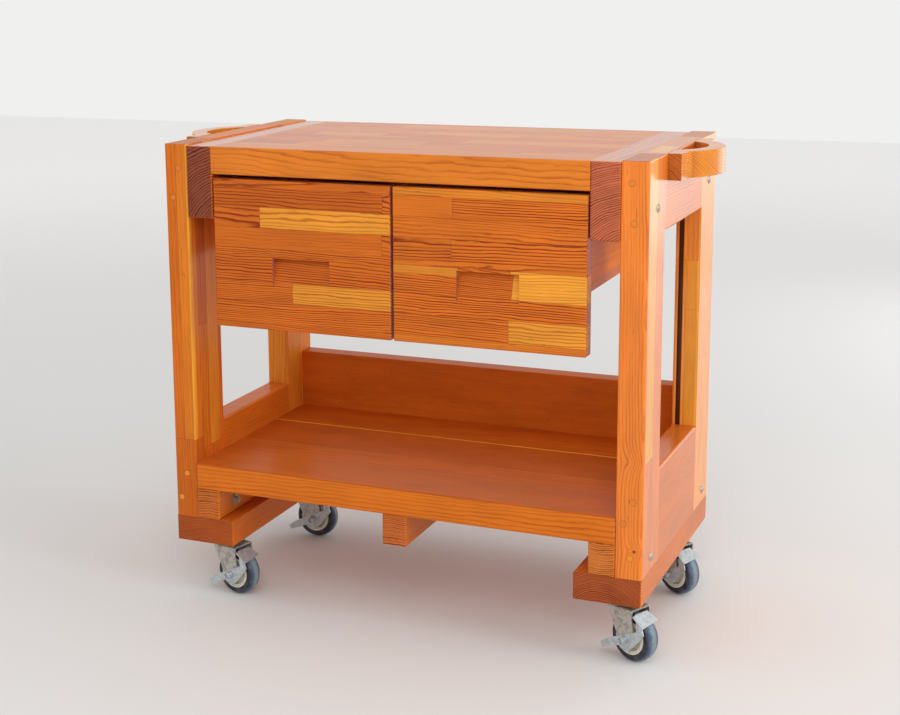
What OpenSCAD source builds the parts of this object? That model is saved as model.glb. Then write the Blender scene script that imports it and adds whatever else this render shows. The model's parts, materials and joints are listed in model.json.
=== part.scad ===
// Wooden kitchen cart with two drawers, a shelf and four braked swivel casters.
// Millimetres. +Z is up and the drawers open towards -Y. Left and right are as seen from the drawers' side.
// The origin lies on the floor, under the middle of the cart's outer box.

/* [Cart] */
// Width over the outer faces of the two side frames
cart_w = 775; // [650:5:1000]
// Depth of the side frames, front to back
cart_d = 425; // [400:5:600]
// Height of the table top above the floor
table_h = 740; // [700:5:860]
// How far the side frames stand above the table top
frame_proud = 2; // [0:0.5:5]
// Small rounding of the boards' long edges
edge_round = 3; // [1:0.5:4]

/* [Side frames] */
// Thickness of the side frames, measured across the cart
post_t = 40; // [36:1:50]
// Width of a post, measured front to back
post_w = 95; // [80:1:120]
// Rounding of the posts' outer upright corners
post_round = 5; // [2:0.5:8]
// Height of the rail under the handle
top_rail_h = 112; // [100:1:140]
// Height of the rail beside the shelf
bottom_rail_h = 143; // [120:1:180]
// Rounding of the edges round the side opening
opening_round = 4; // [1:0.5:6]
// Width of the beam under a side frame
foot_w = 103; // [96:1:120]
// Height of the beam under a side frame
foot_h = 43; // [35:1:60]
// Radius of the beam's lower back corner
heel_r = 15; // [5:1:30]
// Width of the groove routed in the right rear post
post_groove_w = 6.6; // [4:0.1:10]
// Depth of the groove routed in the right rear post
post_groove_depth = 7; // [3:0.5:12]

/* [Top] */
// Thickness of the table top
table_t = 43; // [30:1:60]
// Width of the bearer on each side of the table top
bearer_w = 44; // [36:1:60]
// Height of the bearers
bearer_h = 113; // [105:1:130]
// How far the table top stands out in front of the posts
table_lead = 1; // [0:0.5:10]

/* [Shelf] */
// Thickness of the shelf boards
shelf_t = 42; // [30:1:60]
// Depth of the front shelf board
shelf_front_d = 159; // [100:1:180]
// Depth of the middle shelf board
shelf_middle_d = 124; // [90:1:150]
// How far the shelf stands out in front of the posts
shelf_lead = 2; // [0:0.5:10]
// Width of the cleats under the shelf
cleat_w = 40; // [30:1:50]
// Height of the cleats under the shelf
cleat_h = 49; // [45:1:70]
// Thickness of the board along the back of the shelf
rear_board_t = 35; // [20:1:50]
// Height of the board along the back of the shelf
rear_board_h = 100; // [60:1:160]
// Distance from the back of the posts to the rear board
rear_board_inset = 2; // [0:0.5:10]

/* [Drawers] */
// Height of a drawer front
front_h = 234; // [200:1:280]
// Thickness of a drawer front
front_t = 22; // [18:1:30]
// Rounding of a drawer front's edges
front_round = 2.5; // [1:0.5:4]
// Gap between a drawer front and the bearer beside it
side_gap = 2.5; // [1.5:0.5:5]
// Gap between the two drawer fronts
middle_gap = 4; // [2:0.5:8]
// Gap between a drawer front and the table top
top_gap = 6; // [2:0.5:8]
// Height of a drawer's sides
box_h = 117; // [90:1:122]
// Thickness of the drawer boards behind the front
box_t = 15; // [12:0.5:18]
// Depth of a drawer behind its front
box_d = 382; // [340:1:390]
// Distance from the top of a drawer front to the top of the drawer's sides
box_drop = 10; // [5:0.5:20]
// Width of the finger pull
pull_w = 97; // [70:1:140]
// Height of the finger pull
pull_h = 48; // [30:1:60]
// Depth of the finger pull at its upper edge
pull_depth = 15; // [8:0.5:16]
// Height of the finger pull's lower edge above the bottom of the front
pull_z = 66; // [40:1:100]
// Width of the board between the drawers
divider_w = 40; // [30:1:60]
// How far the board between the drawers reaches below the table top
divider_h = 70; // [62:1:80]
// Distance from the front of the posts to the board between the drawers
divider_inset = 40; // [30:1:60]
// Thickness of a runner strip
runner_w = 10; // [8:0.5:12]
// Height of a runner strip
runner_h = 14; // [10:0.5:18]
// Distance from the table top's underside down to the runner strips
runner_drop = 51; // [48:1:54]
// Length of a runner strip
runner_len = 340; // [280:5:350]
// Distance from the front of the posts to the runner strips
runner_inset = 60; // [50:1:70]
// Depth of the grooves in the drawer sides
groove_depth = 8; // [6:0.5:9]
// Clearance above and below a runner strip in its groove
runner_clearance = 0.3; // [0.2:0.05:0.6]

/* [Handles] */
// Height of a handle
handle_h = 39; // [28:1:45]
// Length of a handle along the side frame
handle_len = 217; // [200:1:230]
// Thickness of a handle's straight ends
handle_end_t = 20; // [15:1:30]
// Radius of a handle's outer bow
bow_r = 93.5; // [88:0.5:100]
// Radius of the finger slot behind the bow
slot_r = 69; // [60:0.5:72]
// Distance from the side frame's outer face in to the bow's centre
bow_inset = 36; // [32:0.5:40]
// Radius of the hollow corners where the bow meets the straight ends
bow_fillet = 20; // [10:1:25]

/* [Bolts and dowels] */
// Diameter of the frame bolts
bolt_d = 6; // [5:0.5:8]
// Diameter of the domed bolt heads
bolt_head_d = 14; // [12:0.5:18]
// Height of the domed bolt heads
bolt_head_h = 3.5; // [2.5:0.5:5]
// Distance from the front and back of the posts to the bolts
bolt_inset = 51; // [45:1:60]
// How much nearer the back the rear upper bolts sit
upper_rear_shift = 4; // [0:1:8]
// How much nearer the back the rear lower bolts sit
lower_rear_shift = 11; // [6:1:12]
// Distance from the table top down to the upper bolts
upper_bolt_drop = 70; // [66:1:74]
// Height of the lower bolts above the foot beam
lower_bolt_rise = 20; // [16:1:20]
// Diameter of the washers
washer_d = 18; // [15:0.5:20]
// Thickness of the washers
washer_t = 1.5; // [1:0.25:2]
// Size of the nuts across their flats
nut_flats = 10; // [9:0.5:13]
// Thickness of the nuts
nut_t = 5; // [4:0.5:6.5]
// Depth of the pocket that hides a nut in a bearer
nut_pocket_depth = 12; // [10:0.5:16]
// Diameter of the dowels through the posts
dowel_d = 9; // [7:0.5:10]
// Length of the dowels through the posts
dowel_len = 150; // [125:1:160]

/* [Screws] */
// Diameter of the wood screws
screw_d = 5; // [4:0.25:6]
// Diameter of the wood screws' flat heads
screw_head_d = 9; // [8:0.5:11]
// Diameter of the runner screws
runner_screw_d = 3.5; // [3:0.25:4]
// Diameter of the screws that hold the casters
caster_screw_d = 5; // [4:0.25:6]
// Length of the screws that hold the casters
caster_screw_len = 32; // [20:1:34]

/* [Casters] */
// Diameter of the wheels
wheel_d = 75; // [60:1:80]
// Width of the tyres
tyre_w = 25; // [20:0.5:28]
// Thickness of the tyres
tyre_t = 12; // [8:0.5:14]
// How much the tread falls from its middle to the sidewalls
tyre_crown = 4.5; // [1:0.25:6]
// Distance from the swivel axis back to the wheel's axle
trail = 43; // [41:1:50]
// Thickness of the fork's sheet metal
fork_t = 2.5; // [2:0.25:3]
// Width over the fork's cheeks
fork_w = 42; // [38:0.5:46]
// Gap between the top of the tyre and the fork
fork_gap = 6.5; // [6:0.5:12]
// Height of the raised ball race on the fork
race_h = 3.5; // [3.5:0.25:5]
// Diameter of the ball race
race_d = 46; // [40:1:52]
// Diameter of the swivel pin
kingpin_d = 10; // [8:0.5:12]
// Diameter of the wheel axle
axle_d = 8; // [6:0.5:9]
// Diameter of the long nut on the axle
axle_nut_d = 11.5; // [11:0.5:14]
// Length of the long nut on the axle
axle_nut_len = 9.5; // [8:0.5:16]
// Length of the mounting plate across the foot beam
plate_l = 92; // [86:1:94]
// Width of the mounting plate along the foot beam
plate_w = 66; // [60:1:76]
// Thickness of the mounting plate
plate_t = 2.5; // [2:0.25:3]
// Distance from the foot beam's middle in to the swivel axes
kingpin_shift = 1; // [0:0.5:3]
// Distance from the front of the posts to the front swivel axes
front_kingpin_inset = 44; // [40:1:60]
// Distance from the back of the posts to the rear swivel axes
rear_kingpin_inset = 97; // [80:1:110]
// Thickness of the brake pedal's sheet metal
pedal_t = 2; // [1.5:0.25:2.5]
// Direction in which the front left wheel trails
front_left_swivel = -13; // [-40:1:20]
// Direction in which the front right wheel trails
front_right_swivel = -26; // [-40:1:20]
// Direction in which the rear left wheel trails
rear_left_swivel = 1; // [-40:1:20]
// Direction in which the rear right wheel trails
rear_right_swivel = -31; // [-40:1:20]

/* [Hidden] */
$fn = 64;

// Clearance round pins, screws and dowels in their bores
fit = 0.05;
// Clearance between parts that turn past each other
turn_gap = 0.3;
// How far a cutting shape reaches past the face that it cuts
past = 1;
// Rounding of the edges that meet another board, and of the drawer boards' long edges
edge_break = 0.5;
box_round = 1.5;

// Colours
timber = [0.80, 0.44, 0.18];
dark_timber = [0.62, 0.31, 0.13];
end_timber = [0.50, 0.27, 0.17];
light_timber = [0.88, 0.62, 0.32];
steel = [0.72, 0.73, 0.75];
rubber = [0.20, 0.24, 0.33];
ivory = [0.87, 0.85, 0.76];

// Heights, from the floor up
axle_z = wheel_d / 2;
crown_in_z = wheel_d + fork_gap;
crown_z = crown_in_z + fork_t;
plate_z = crown_z + race_h;
foot_z = plate_z + plate_t;
post_z = foot_z + foot_h;
shelf_z = post_z + cleat_h;
shelf_top = shelf_z + shelf_t;
table_z = table_h - table_t;
frame_top = table_h + frame_proud;
top_rail_z = frame_top - top_rail_h;
bottom_rail_top = post_z + bottom_rail_h;
opening_h = top_rail_z - bottom_rail_top;
front_top = table_z - top_gap;
front_z = front_top - front_h;
box_top = front_top - box_drop;
box_z = box_top - box_h;
runner_z = table_z - runner_drop - runner_h;
upper_bolt_z = table_h - upper_bolt_drop;
lower_bolt_z = post_z + lower_bolt_rise;
handle_z = frame_top - handle_h;

// Places across the cart, on its right side
frame_x = cart_w / 2;
post_x = frame_x - post_t;
post_mid_x = frame_x - post_t / 2;
bearer_x = post_x - bearer_w;
front_x = middle_gap / 2;
front_w = bearer_x - side_gap - front_x;
box_out_x = front_x + front_w;
divider_side = divider_w / 2;
box_in_x = divider_side + side_gap;
cleat_x = post_x - cleat_w;
kingpin_x = frame_x - foot_w / 2 - kingpin_shift;

// Outline of the brake pedal's side plate, measured from the axle: +X trails, +Y is up
pedal_reach = 35;
pedal_top_edge = [[-33, -7.5], [31, 23]];
pedal_tip = [[-43.5, -24.5], [-48, -17.5]];
pedal_underside = [[-11.5, -12.5], [-25.5, -18]];
pedal_neck = [21.5, 18.5];
pedal_tail = [[pedal_reach, 16.5], [31, 10]];
pedal_boss_r = 16.5;
// The brake pedal's pad is a flat sheet square to a line that leans back from the axle by pad_lean
pad_lean = 37.5;
pad_gap = 1.2;
pad_side_gap = 1.5;
// Along the pad: its end under the crown, the start of its wide part, its far corner and its near corner
pad_start = -14.5;
pad_wide_start = -13;
pad_far_corner = [5.4, 16.5];
pad_near_end = 10.5;
// How far the pad's narrow end reaches past the wheel's middle, and where the side plate's neck starts on the pad
pad_start_reach = 10;
pad_neck_start = -5;
pad_r = axle_z + pad_gap;
function pad_point(along, out) =
    (pad_r + out) * [sin(pad_lean), cos(pad_lean)] + along * [cos(pad_lean), -sin(pad_lean)];

// Places along the cart's depth. The pedal of the front right caster reaches furthest forward.
pedal_inner = fork_w / 2 + turn_gap;
pedal_outer = pedal_inner + pedal_t;
nut_reach = pedal_outer + turn_gap + axle_nut_len;
function pedal_front(angle) = -front_kingpin_inset - (trail + pedal_reach) * sin(angle) + pedal_outer * cos(angle);
function nut_front(angle) =
    -front_kingpin_inset - trail * sin(angle) + nut_reach * cos(angle) + axle_nut_d / 2 * abs(sin(angle));
front_reach = max(shelf_lead, table_lead,
    pedal_front(front_left_swivel), pedal_front(front_right_swivel),
    nut_front(front_left_swivel), nut_front(front_right_swivel));
front_y = (front_reach - cart_d) / 2;
back_y = front_y + cart_d;
rear_post_y = back_y - post_w;
rail_y = front_y + post_w;
rail_len = cart_d - 2 * post_w;
mid_y = front_y + cart_d / 2;
drawer_y = front_y - table_lead;
box_y = drawer_y + front_t;
shelf_y = front_y - shelf_lead;
shelf_seam_1 = shelf_y + shelf_front_d;
shelf_seam_2 = shelf_seam_1 + shelf_middle_d;
rear_board_y = back_y - rear_board_inset - rear_board_t;
runner_y = front_y + runner_inset;
bolt_y = [front_y + bolt_inset, back_y - bolt_inset];
upper_bolts = [[bolt_y[0], upper_bolt_z], [bolt_y[1] + upper_rear_shift, upper_bolt_z]];
lower_bolts = [[bolt_y[0], lower_bolt_z], [bolt_y[1] + lower_rear_shift, lower_bolt_z]];

// Dowels in each side frame: distance in from the outer face, and height
left_top_dowels = [[24.5, frame_top - 38], [13.5, frame_top - 84.5]];
left_low_dowels = [[21.5, bottom_rail_top - 70.5], [10.5, post_z + 31]];
right_top_dowels = [[24.5, frame_top - 31], [20.5, frame_top - 88]];
right_low_dowels = [[14.5, bottom_rail_top - 26], [28.5, bottom_rail_top - 60], [17.5, post_z + 31.5]];

// Screws: [point of the head, turn, length, diameter, head diameter]
up = [0, 0, 0];
outward = [0, 90, 0];
inward = [0, -90, 0];
// Height of the straight rim of a flat screw head
screw_rim = 0.4;
// How far a screw reaches into the board that it holds, as a share of the board's thickness
screw_bite = 0.6;
// Screws up through the foot beams: distance in from the outer face, from the beam's ends, and reach into a post
foot_screw_in = 31.5;
foot_screw_inset = [25, 70];
foot_screw_bite = 47;
foot_screws = [for (i = foot_screw_inset, y = [front_y + i, back_y - i])
    [[frame_x - foot_screw_in, y, foot_z], up, foot_h + foot_screw_bite, screw_d, screw_head_d]];
// Distance from a shelf board's edges to its screws, and from the posts' back to the last of them
shelf_screw_inset = 32;
last_shelf_screw_inset = 24;
shelf_screw_y = [
    shelf_y + shelf_screw_inset, shelf_seam_1 - shelf_screw_inset,
    shelf_seam_1 + shelf_screw_inset, shelf_seam_2 - shelf_screw_inset,
    shelf_seam_2 + shelf_screw_inset, back_y - last_shelf_screw_inset];
function cleat_screws(x) = [for (y = shelf_screw_y)
    [[x, y, post_z], up, cleat_h + screw_bite * shelf_t, screw_d, screw_head_d]];
// Screws up through the shelf into the rear board: places as shares of the half shelf, and reach into the board
rear_board_screw_share = [-0.72, -0.26, 0.26, 0.72];
rear_board_screw_bite = 38;
rear_board_screws = [for (k = rear_board_screw_share)
    [[k * post_x, rear_board_y + rear_board_t / 2, shelf_z], up, shelf_t + rear_board_screw_bite,
        screw_d, screw_head_d]];
// Screws through the bearers: distance from the table top's ends, and reach into the top
table_screw_inset = 85;
table_screw_bite = 36;
table_screws = [for (y = [front_y + table_screw_inset, mid_y, back_y - table_screw_inset])
    [[post_x, y, table_z + table_t / 2], inward, bearer_w + table_screw_bite, screw_d, screw_head_d]];
// Distance from the ends of the board between the drawers to its screws
divider_screw_inset = 40;
divider_screws = [for (y = [front_y + divider_inset + divider_screw_inset, mid_y, back_y - divider_screw_inset])
    [[0, y, table_z - divider_h], up, divider_h + screw_bite * table_t, screw_d, screw_head_d]];
// Distance from a handle's ends to its screws, and their reach as a share of its ends' thickness
handle_screw_inset = 16;
handle_screw_bite = 0.75;
handle_screws = [for (way = [-1, 1])
    [[post_x, mid_y + way * (handle_len / 2 - handle_screw_inset), handle_z + handle_h / 2], outward,
        post_t + handle_screw_bite * handle_end_t, screw_d, screw_head_d]];
// Runner screws: distance from a strip's ends, and reach into a bearer and into the board between the drawers
runner_screw_inset = 30;
bearer_runner_bite = 18;
divider_runner_bite = 16;
runner_head_d = 2 * runner_screw_d;
runner_screw_y = [
    runner_y + runner_screw_inset, runner_y + runner_len / 2, runner_y + runner_len - runner_screw_inset];
bearer_runner_screws = [for (y = runner_screw_y)
    [[bearer_x - runner_w, y, runner_z + runner_h / 2], outward, runner_w + bearer_runner_bite,
        runner_screw_d, runner_head_d]];
divider_runner_screws = [for (y = runner_screw_y)
    [[divider_side + runner_w, y, runner_z + runner_h / 2], inward, runner_w + divider_runner_bite,
        runner_screw_d, runner_head_d]];

// Casters: [side, distance along the cart's depth, direction of trail]
front_left = [-kingpin_x, front_y + front_kingpin_inset, front_left_swivel];
front_right = [kingpin_x, front_y + front_kingpin_inset, front_right_swivel];
rear_left = [-kingpin_x, back_y - rear_kingpin_inset, rear_left_swivel];
rear_right = [kingpin_x, back_y - rear_kingpin_inset, rear_right_swivel];
casters = [front_left, front_right, rear_left, rear_right];
// Rounding of the mounting plates' corners, and distance from their edges to the holes
plate_corner_r = 8;
plate_hole_inset = [10, 11];
plate_hole_x = plate_l / 2 - plate_hole_inset[0];
plate_hole_y = plate_w / 2 - plate_hole_inset[1];
plate_holes = [for (x = [-plate_hole_x, plate_hole_x], y = [-plate_hole_y, plate_hole_y]) [x, y]];

// Point where a line from p touches the circle of radius r round c
function touch(p, c, r, way) =
    let (d = p - c, a = atan2(d[1], d[0]) + way * acos(r / norm(d)))
    c + r * [cos(a), sin(a)];

// Rectangle with a radius for each corner, counted anticlockwise from the lower left one
module section(w, h, r) {
    difference() {
        square([w, h]);
        if (r[0] > 0) corner_off(r[0]);
        if (r[1] > 0) translate([w, 0]) rotate(90) corner_off(r[1]);
        if (r[2] > 0) translate([w, h]) rotate(180) corner_off(r[2]);
        if (r[3] > 0) translate([0, h]) rotate(270) corner_off(r[3]);
    }
}

// What a rounding tool takes off a corner at the origin
module corner_off(r) {
    difference() {
        translate([-past, -past]) square(r + past);
        translate([r, r]) circle(r);
    }
}

// Board with rounded edges. Each list gives the corner radii of one of its three outlines.
module board(size, xy = [0, 0, 0, 0], xz = [0, 0, 0, 0], yz = [0, 0, 0, 0]) {
    intersection() {
        linear_extrude(size[2]) section(size[0], size[1], xy);
        translate([0, size[1], 0]) rotate([90, 0, 0]) linear_extrude(size[1]) section(size[0], size[2], xz);
        rotate([90, 0, 90]) linear_extrude(size[0]) section(size[1], size[2], yz);
    }
}

// Puts a right-hand part on the left (-1) or leaves it on the right (1)
module on_side(side) {
    if (side < 0) mirror([1, 0, 0]) children();
    else children();
}

module screw(length, d, head_d) {
    head_h = (head_d - d) / 2;
    rotate_extrude() polygon([
        [0, 0], [head_d / 2, 0], [head_d / 2, screw_rim], [d / 2, head_h + screw_rim],
        [d / 2, length - d], [0, length]]);
}

module screws(list) {
    for (s = list) translate(s[0]) rotate(s[1]) screw(s[2], s[3], s[4]);
}

module screw_bores(list) {
    for (s = list) translate(s[0]) rotate(s[1]) {
        translate([0, 0, -past]) cylinder(r = s[4] / 2 + fit, h = past + screw_rim + fit);
        translate([0, 0, screw_rim]) cylinder(r1 = s[4] / 2 + fit, r2 = s[3] / 2 + fit, h = (s[4] - s[3]) / 2);
        translate([0, 0, screw_rim]) cylinder(r = s[3] / 2 + fit, h = s[2] - screw_rim + fit);
    }
}

// Dowels that start at the front of the posts (way 1) or at their back (-1)
module dowels(list, r, length, way) {
    start = way > 0 ? front_y : back_y - length;
    for (p = list) translate([frame_x - p[0], start, p[1]]) rotate([-90, 0, 0]) cylinder(r = r, h = length);
}

module dowel_bores(list) {
    translate([0, -past, 0]) dowels(list, dowel_d / 2 + fit, dowel_len + past + fit, 1);
    translate([0, past, 0]) dowels(list, dowel_d / 2 + fit, dowel_len + past + fit, -1);
}

module bolt_bores(list, depth) {
    for (p = list) translate([frame_x + past, p[0], p[1]]) rotate([0, -90, 0])
        cylinder(r = bolt_d / 2 + fit, h = depth + past);
}

// Side frames

module front_post_blank() {
    height = frame_top - post_z;
    translate([post_x, front_y, post_z]) difference() {
        board([post_t, post_w, height],
            xy = [edge_round, post_round, 0, 0],
            xz = [0, 0, edge_round, edge_round / 2],
            yz = [0, 0, 0, edge_round]);
        translate([0, 0, bottom_rail_top - post_z]) linear_extrude(opening_h) {
            translate([0, post_w]) rotate(270) corner_off(opening_round);
            translate([post_t, post_w]) rotate(180) corner_off(opening_round);
        }
    }
}

module post_bores(dowels_here) {
    dowel_bores(dowels_here);
    bolt_bores(upper_bolts, post_t + past);
    bolt_bores(lower_bolts, post_t + past);
    screw_bores(foot_screws);
}

module front_post(dowels_here) {
    color(timber) difference() {
        front_post_blank();
        post_bores(dowels_here);
    }
}

module rear_post(dowels_here) {
    color(timber) difference() {
        translate([0, 2 * mid_y, 0]) mirror([0, 1, 0]) front_post_blank();
        post_bores(dowels_here);
    }
}

// The right rear post has a groove routed up its front face, one groove's width from its inner face
module right_rear_post() {
    color(timber) difference() {
        rear_post(concat(right_top_dowels, right_low_dowels));
        translate([post_x + post_groove_w, rear_post_y - past, bottom_rail_top])
            cube([post_groove_w, post_groove_depth + past, opening_h]);
    }
}

module top_rail(dowels_here) {
    color(timber) difference() {
        translate([post_x, rail_y, top_rail_z]) board([post_t, rail_len, top_rail_h],
            xz = [opening_round, opening_round, edge_round, 0]);
        dowel_bores(dowels_here);
        screw_bores(handle_screws);
    }
}

module bottom_rail(dowels_here) {
    color(timber) difference() {
        translate([post_x, rail_y, post_z]) board([post_t, rail_len, bottom_rail_h],
            xz = [0, 0, opening_round, opening_round]);
        dowel_bores(dowels_here);
    }
}

module foot_beam(side) {
    color(timber) difference() {
        translate([frame_x - foot_w, front_y, foot_z]) board([foot_w, cart_d, foot_h],
            xy = [edge_round, edge_round, edge_round, edge_round],
            xz = [edge_round, edge_round, 0, edge_round],
            yz = [edge_round, heel_r, 0, 0]);
        screw_bores(foot_screws);
        for (c = casters) if (c[0] * side > 0)
            translate([kingpin_x, c[1], 0]) caster_screw_holes(foot_z, caster_screw_len + past);
    }
}

module handle() {
    bow_centre = [-bow_inset, 0];
    fillet_x = handle_end_t + bow_fillet;
    fillet_y = sqrt((bow_r + bow_fillet) ^ 2 - (fillet_x + bow_inset) ^ 2);
    meet = bow_centre + ([fillet_x, fillet_y] - bow_centre) * bow_r / (bow_r + bow_fillet);
    color(timber) difference() {
        translate([frame_x, mid_y, handle_z]) linear_extrude(handle_h) difference() {
            union() {
                translate([0, -handle_len / 2]) square([handle_end_t, handle_len]);
                intersection() {
                    translate(bow_centre) circle(bow_r);
                    translate([0, -bow_r]) square([bow_r, 2 * bow_r]);
                }
                for (way = [-1, 1]) mirror([0, way < 0 ? 1 : 0]) difference() {
                    polygon([[handle_end_t - past, meet[1]], meet, [handle_end_t, fillet_y],
                        [handle_end_t - past, fillet_y]]);
                    translate([fillet_x, fillet_y]) circle(bow_fillet);
                }
            }
            translate(bow_centre) circle(slot_r);
        }
        screw_bores(handle_screws);
    }
}

// Table top, bearers and runners

module bearer() {
    color(end_timber) difference() {
        translate([bearer_x, drawer_y, table_h - bearer_h])
            board([bearer_w, cart_d + table_lead, bearer_h], xy = [edge_round, edge_round, 0, 0],
                xz = [edge_round, 0, 0, 0], yz = [edge_round, edge_round, edge_round, edge_round]);
        bolt_bores(upper_bolts, post_t + bearer_w + past);
        for (p = upper_bolts) translate([bearer_x - past, p[0], p[1]]) rotate([0, 90, 0])
            cylinder(r = washer_d / 2 + past, h = nut_pocket_depth + past);
        screw_bores(table_screws);
        screw_bores(bearer_runner_screws);
    }
}

module table_top() {
    color(timber) difference() {
        translate([-bearer_x, drawer_y, table_z]) board([2 * bearer_x, cart_d + table_lead, table_t],
            yz = [edge_round, edge_round, edge_round, edge_round]);
        for (side = [-1, 1]) on_side(side) screw_bores(table_screws);
        screw_bores(divider_screws);
    }
}

module drawer_divider() {
    color(dark_timber) difference() {
        translate([-divider_side, front_y + divider_inset, table_z - divider_h])
            board([divider_w, cart_d - divider_inset, divider_h], xz = [edge_round, edge_round, 0, 0]);
        screw_bores(divider_screws);
        for (side = [-1, 1]) on_side(side) screw_bores(divider_runner_screws);
    }
}

module drawer_runners() {
    color(light_timber) for (side = [-1, 1]) on_side(side) {
        difference() {
            translate([bearer_x - runner_w, runner_y, runner_z]) cube([runner_w, runner_len, runner_h]);
            screw_bores(bearer_runner_screws);
        }
        difference() {
            translate([divider_side, runner_y, runner_z]) cube([runner_w, runner_len, runner_h]);
            screw_bores(divider_runner_screws);
        }
    }
}

// Shelf

module shelf_board(y, depth, front_r) {
    translate([-post_x, y, shelf_z]) board([2 * post_x, depth, shelf_t],
        xy = [front_r, front_r, 0, 0], yz = [front_r, edge_break, edge_break, front_r]);
}

module shelf_bores() {
    screw_bores(cleat_screws(0));
    for (side = [-1, 1]) on_side(side) screw_bores(cleat_screws(cleat_x + cleat_w / 2));
    screw_bores(rear_board_screws);
}

module shelf_front_board() {
    color(dark_timber) difference() {
        shelf_board(shelf_y, shelf_front_d, edge_round);
        shelf_bores();
    }
}

module shelf_middle_board() {
    color(dark_timber) difference() {
        shelf_board(shelf_seam_1, shelf_middle_d, edge_break);
        shelf_bores();
    }
}

module shelf_rear_board() {
    color(dark_timber) difference() {
        shelf_board(shelf_seam_2, back_y - shelf_seam_2, edge_break);
        shelf_bores();
    }
}

module rear_board() {
    color(dark_timber) difference() {
        translate([-post_x, rear_board_y, shelf_top]) board([2 * post_x, rear_board_t, rear_board_h],
            yz = [0, 0, edge_round, edge_round]);
        screw_bores(rear_board_screws);
    }
}

module cleat(x) {
    translate([x, shelf_y, post_z]) board([cleat_w, cart_d + shelf_lead, cleat_h],
        xy = [edge_round, edge_round, edge_round, edge_round],
        xz = [edge_round, edge_round, 0, 0], yz = [edge_round, edge_round, 0, 0]);
}

module side_cleat() {
    color(timber) difference() {
        cleat(cleat_x);
        bolt_bores(lower_bolts, post_t + cleat_w + past);
        screw_bores(cleat_screws(cleat_x + cleat_w / 2));
    }
}

module centre_cleat() {
    color(timber) difference() {
        cleat(-cleat_w / 2);
        screw_bores(cleat_screws(0));
    }
}

// Fasteners

// Bolt with a domed head on the frame's outer face, pointing inwards
module bolt(length) {
    dome_r = (bolt_head_h ^ 2 + (bolt_head_d / 2) ^ 2) / (2 * bolt_head_h);
    rotate([0, -90, 0]) {
        translate([0, 0, -past]) cylinder(r = bolt_d / 2, h = length + past);
        intersection() {
            translate([0, 0, -bolt_head_h]) cylinder(r = bolt_head_d / 2, h = bolt_head_h);
            translate([0, 0, dome_r - bolt_head_h]) sphere(dome_r);
        }
    }
}

upper_nut_x = bearer_x + nut_pocket_depth;
lower_nut_x = cleat_x;
// How far a bolt's end stands out of its nut
bolt_end = 2;

module frame_bolts() {
    color(steel) for (side = [-1, 1]) on_side(side) {
        for (p = upper_bolts) translate([frame_x, p[0], p[1]])
            bolt(frame_x - upper_nut_x + washer_t + nut_t + bolt_end);
        for (p = lower_bolts) translate([frame_x, p[0], p[1]])
            bolt(frame_x - lower_nut_x + washer_t + nut_t + bolt_end);
    }
}

module nut_and_washer() {
    rotate([0, -90, 0]) {
        difference() {
            cylinder(r = washer_d / 2, h = washer_t);
            translate([0, 0, -past]) cylinder(r = bolt_d / 2 + fit, h = washer_t + 2 * past);
        }
        translate([0, 0, washer_t + fit]) difference() {
            cylinder(r = nut_flats / sqrt(3), h = nut_t, $fn = 6);
            translate([0, 0, -past]) cylinder(r = bolt_d / 2 + fit, h = nut_t + 2 * past);
        }
    }
}

module bolt_nuts_and_washers() {
    color(steel) for (side = [-1, 1]) on_side(side) {
        for (p = upper_bolts) translate([upper_nut_x, p[0], p[1]]) nut_and_washer();
        for (p = lower_bolts) translate([lower_nut_x, p[0], p[1]]) nut_and_washer();
    }
}

module frame_dowels() {
    color(light_timber) for (way = [-1, 1]) {
        on_side(-1) dowels(concat(left_top_dowels, left_low_dowels), dowel_d / 2, dowel_len, way);
        dowels(concat(right_top_dowels, right_low_dowels), dowel_d / 2, dowel_len, way);
    }
}

module wood_screws() {
    color(steel) {
        for (side = [-1, 1]) on_side(side) {
            screws(foot_screws);
            screws(cleat_screws(cleat_x + cleat_w / 2));
            screws(table_screws);
            screws(handle_screws);
            screws(bearer_runner_screws);
            screws(divider_runner_screws);
        }
        screws(cleat_screws(0));
        screws(rear_board_screws);
        screws(divider_screws);
    }
}

// Drawers. Side 1 is the right drawer; the left one is its mirror image.

module drawer_front() {
    pull_x = front_x + (front_w - pull_w) / 2;
    color(timber) difference() {
        translate([front_x, drawer_y, front_z]) board([front_w, front_t, front_h],
            xy = [front_round, front_round, edge_break, edge_break],
            xz = [front_round, front_round, front_round, front_round],
            yz = [front_round, edge_break, edge_break, front_round]);
        translate([pull_x, drawer_y, front_z + pull_z]) rotate([90, 0, 90]) linear_extrude(pull_w)
            polygon([[-past, 0], [0, 0], [pull_depth, pull_h], [-past, pull_h]]);
    }
}

// A side of the drawer box, with its groove for a runner strip open at the back
module drawer_side(x, groove_x) {
    color(timber) difference() {
        translate([x, box_y, box_z]) board([box_t, box_d, box_h], xz = [0, 0, box_round, box_round]);
        translate([groove_x, runner_y - turn_gap, runner_z - runner_clearance])
            cube([groove_depth + past, box_d, runner_h + 2 * runner_clearance]);
    }
}

module outer_side() {
    drawer_side(box_out_x - box_t, box_out_x - groove_depth);
}

module inner_side() {
    drawer_side(box_in_x, box_in_x - past);
}

module drawer_back() {
    color(timber) translate([box_in_x + box_t, box_y + box_d - box_t, box_z])
        board([box_out_x - box_in_x - 2 * box_t, box_t, box_h], yz = [0, 0, box_round, box_round]);
}

module drawer_bottom() {
    color(dark_timber) translate([box_in_x, box_y, box_z - box_t])
        board([box_out_x - box_in_x, box_d, box_t], xz = [box_round, box_round, 0, 0]);
}

// Casters. Each is drawn trailing towards +X from its swivel axis, with its brake pedal on the -Y side.

module at_caster(c) {
    translate([c[0], c[1], 0]) rotate(c[2]) children();
}

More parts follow.
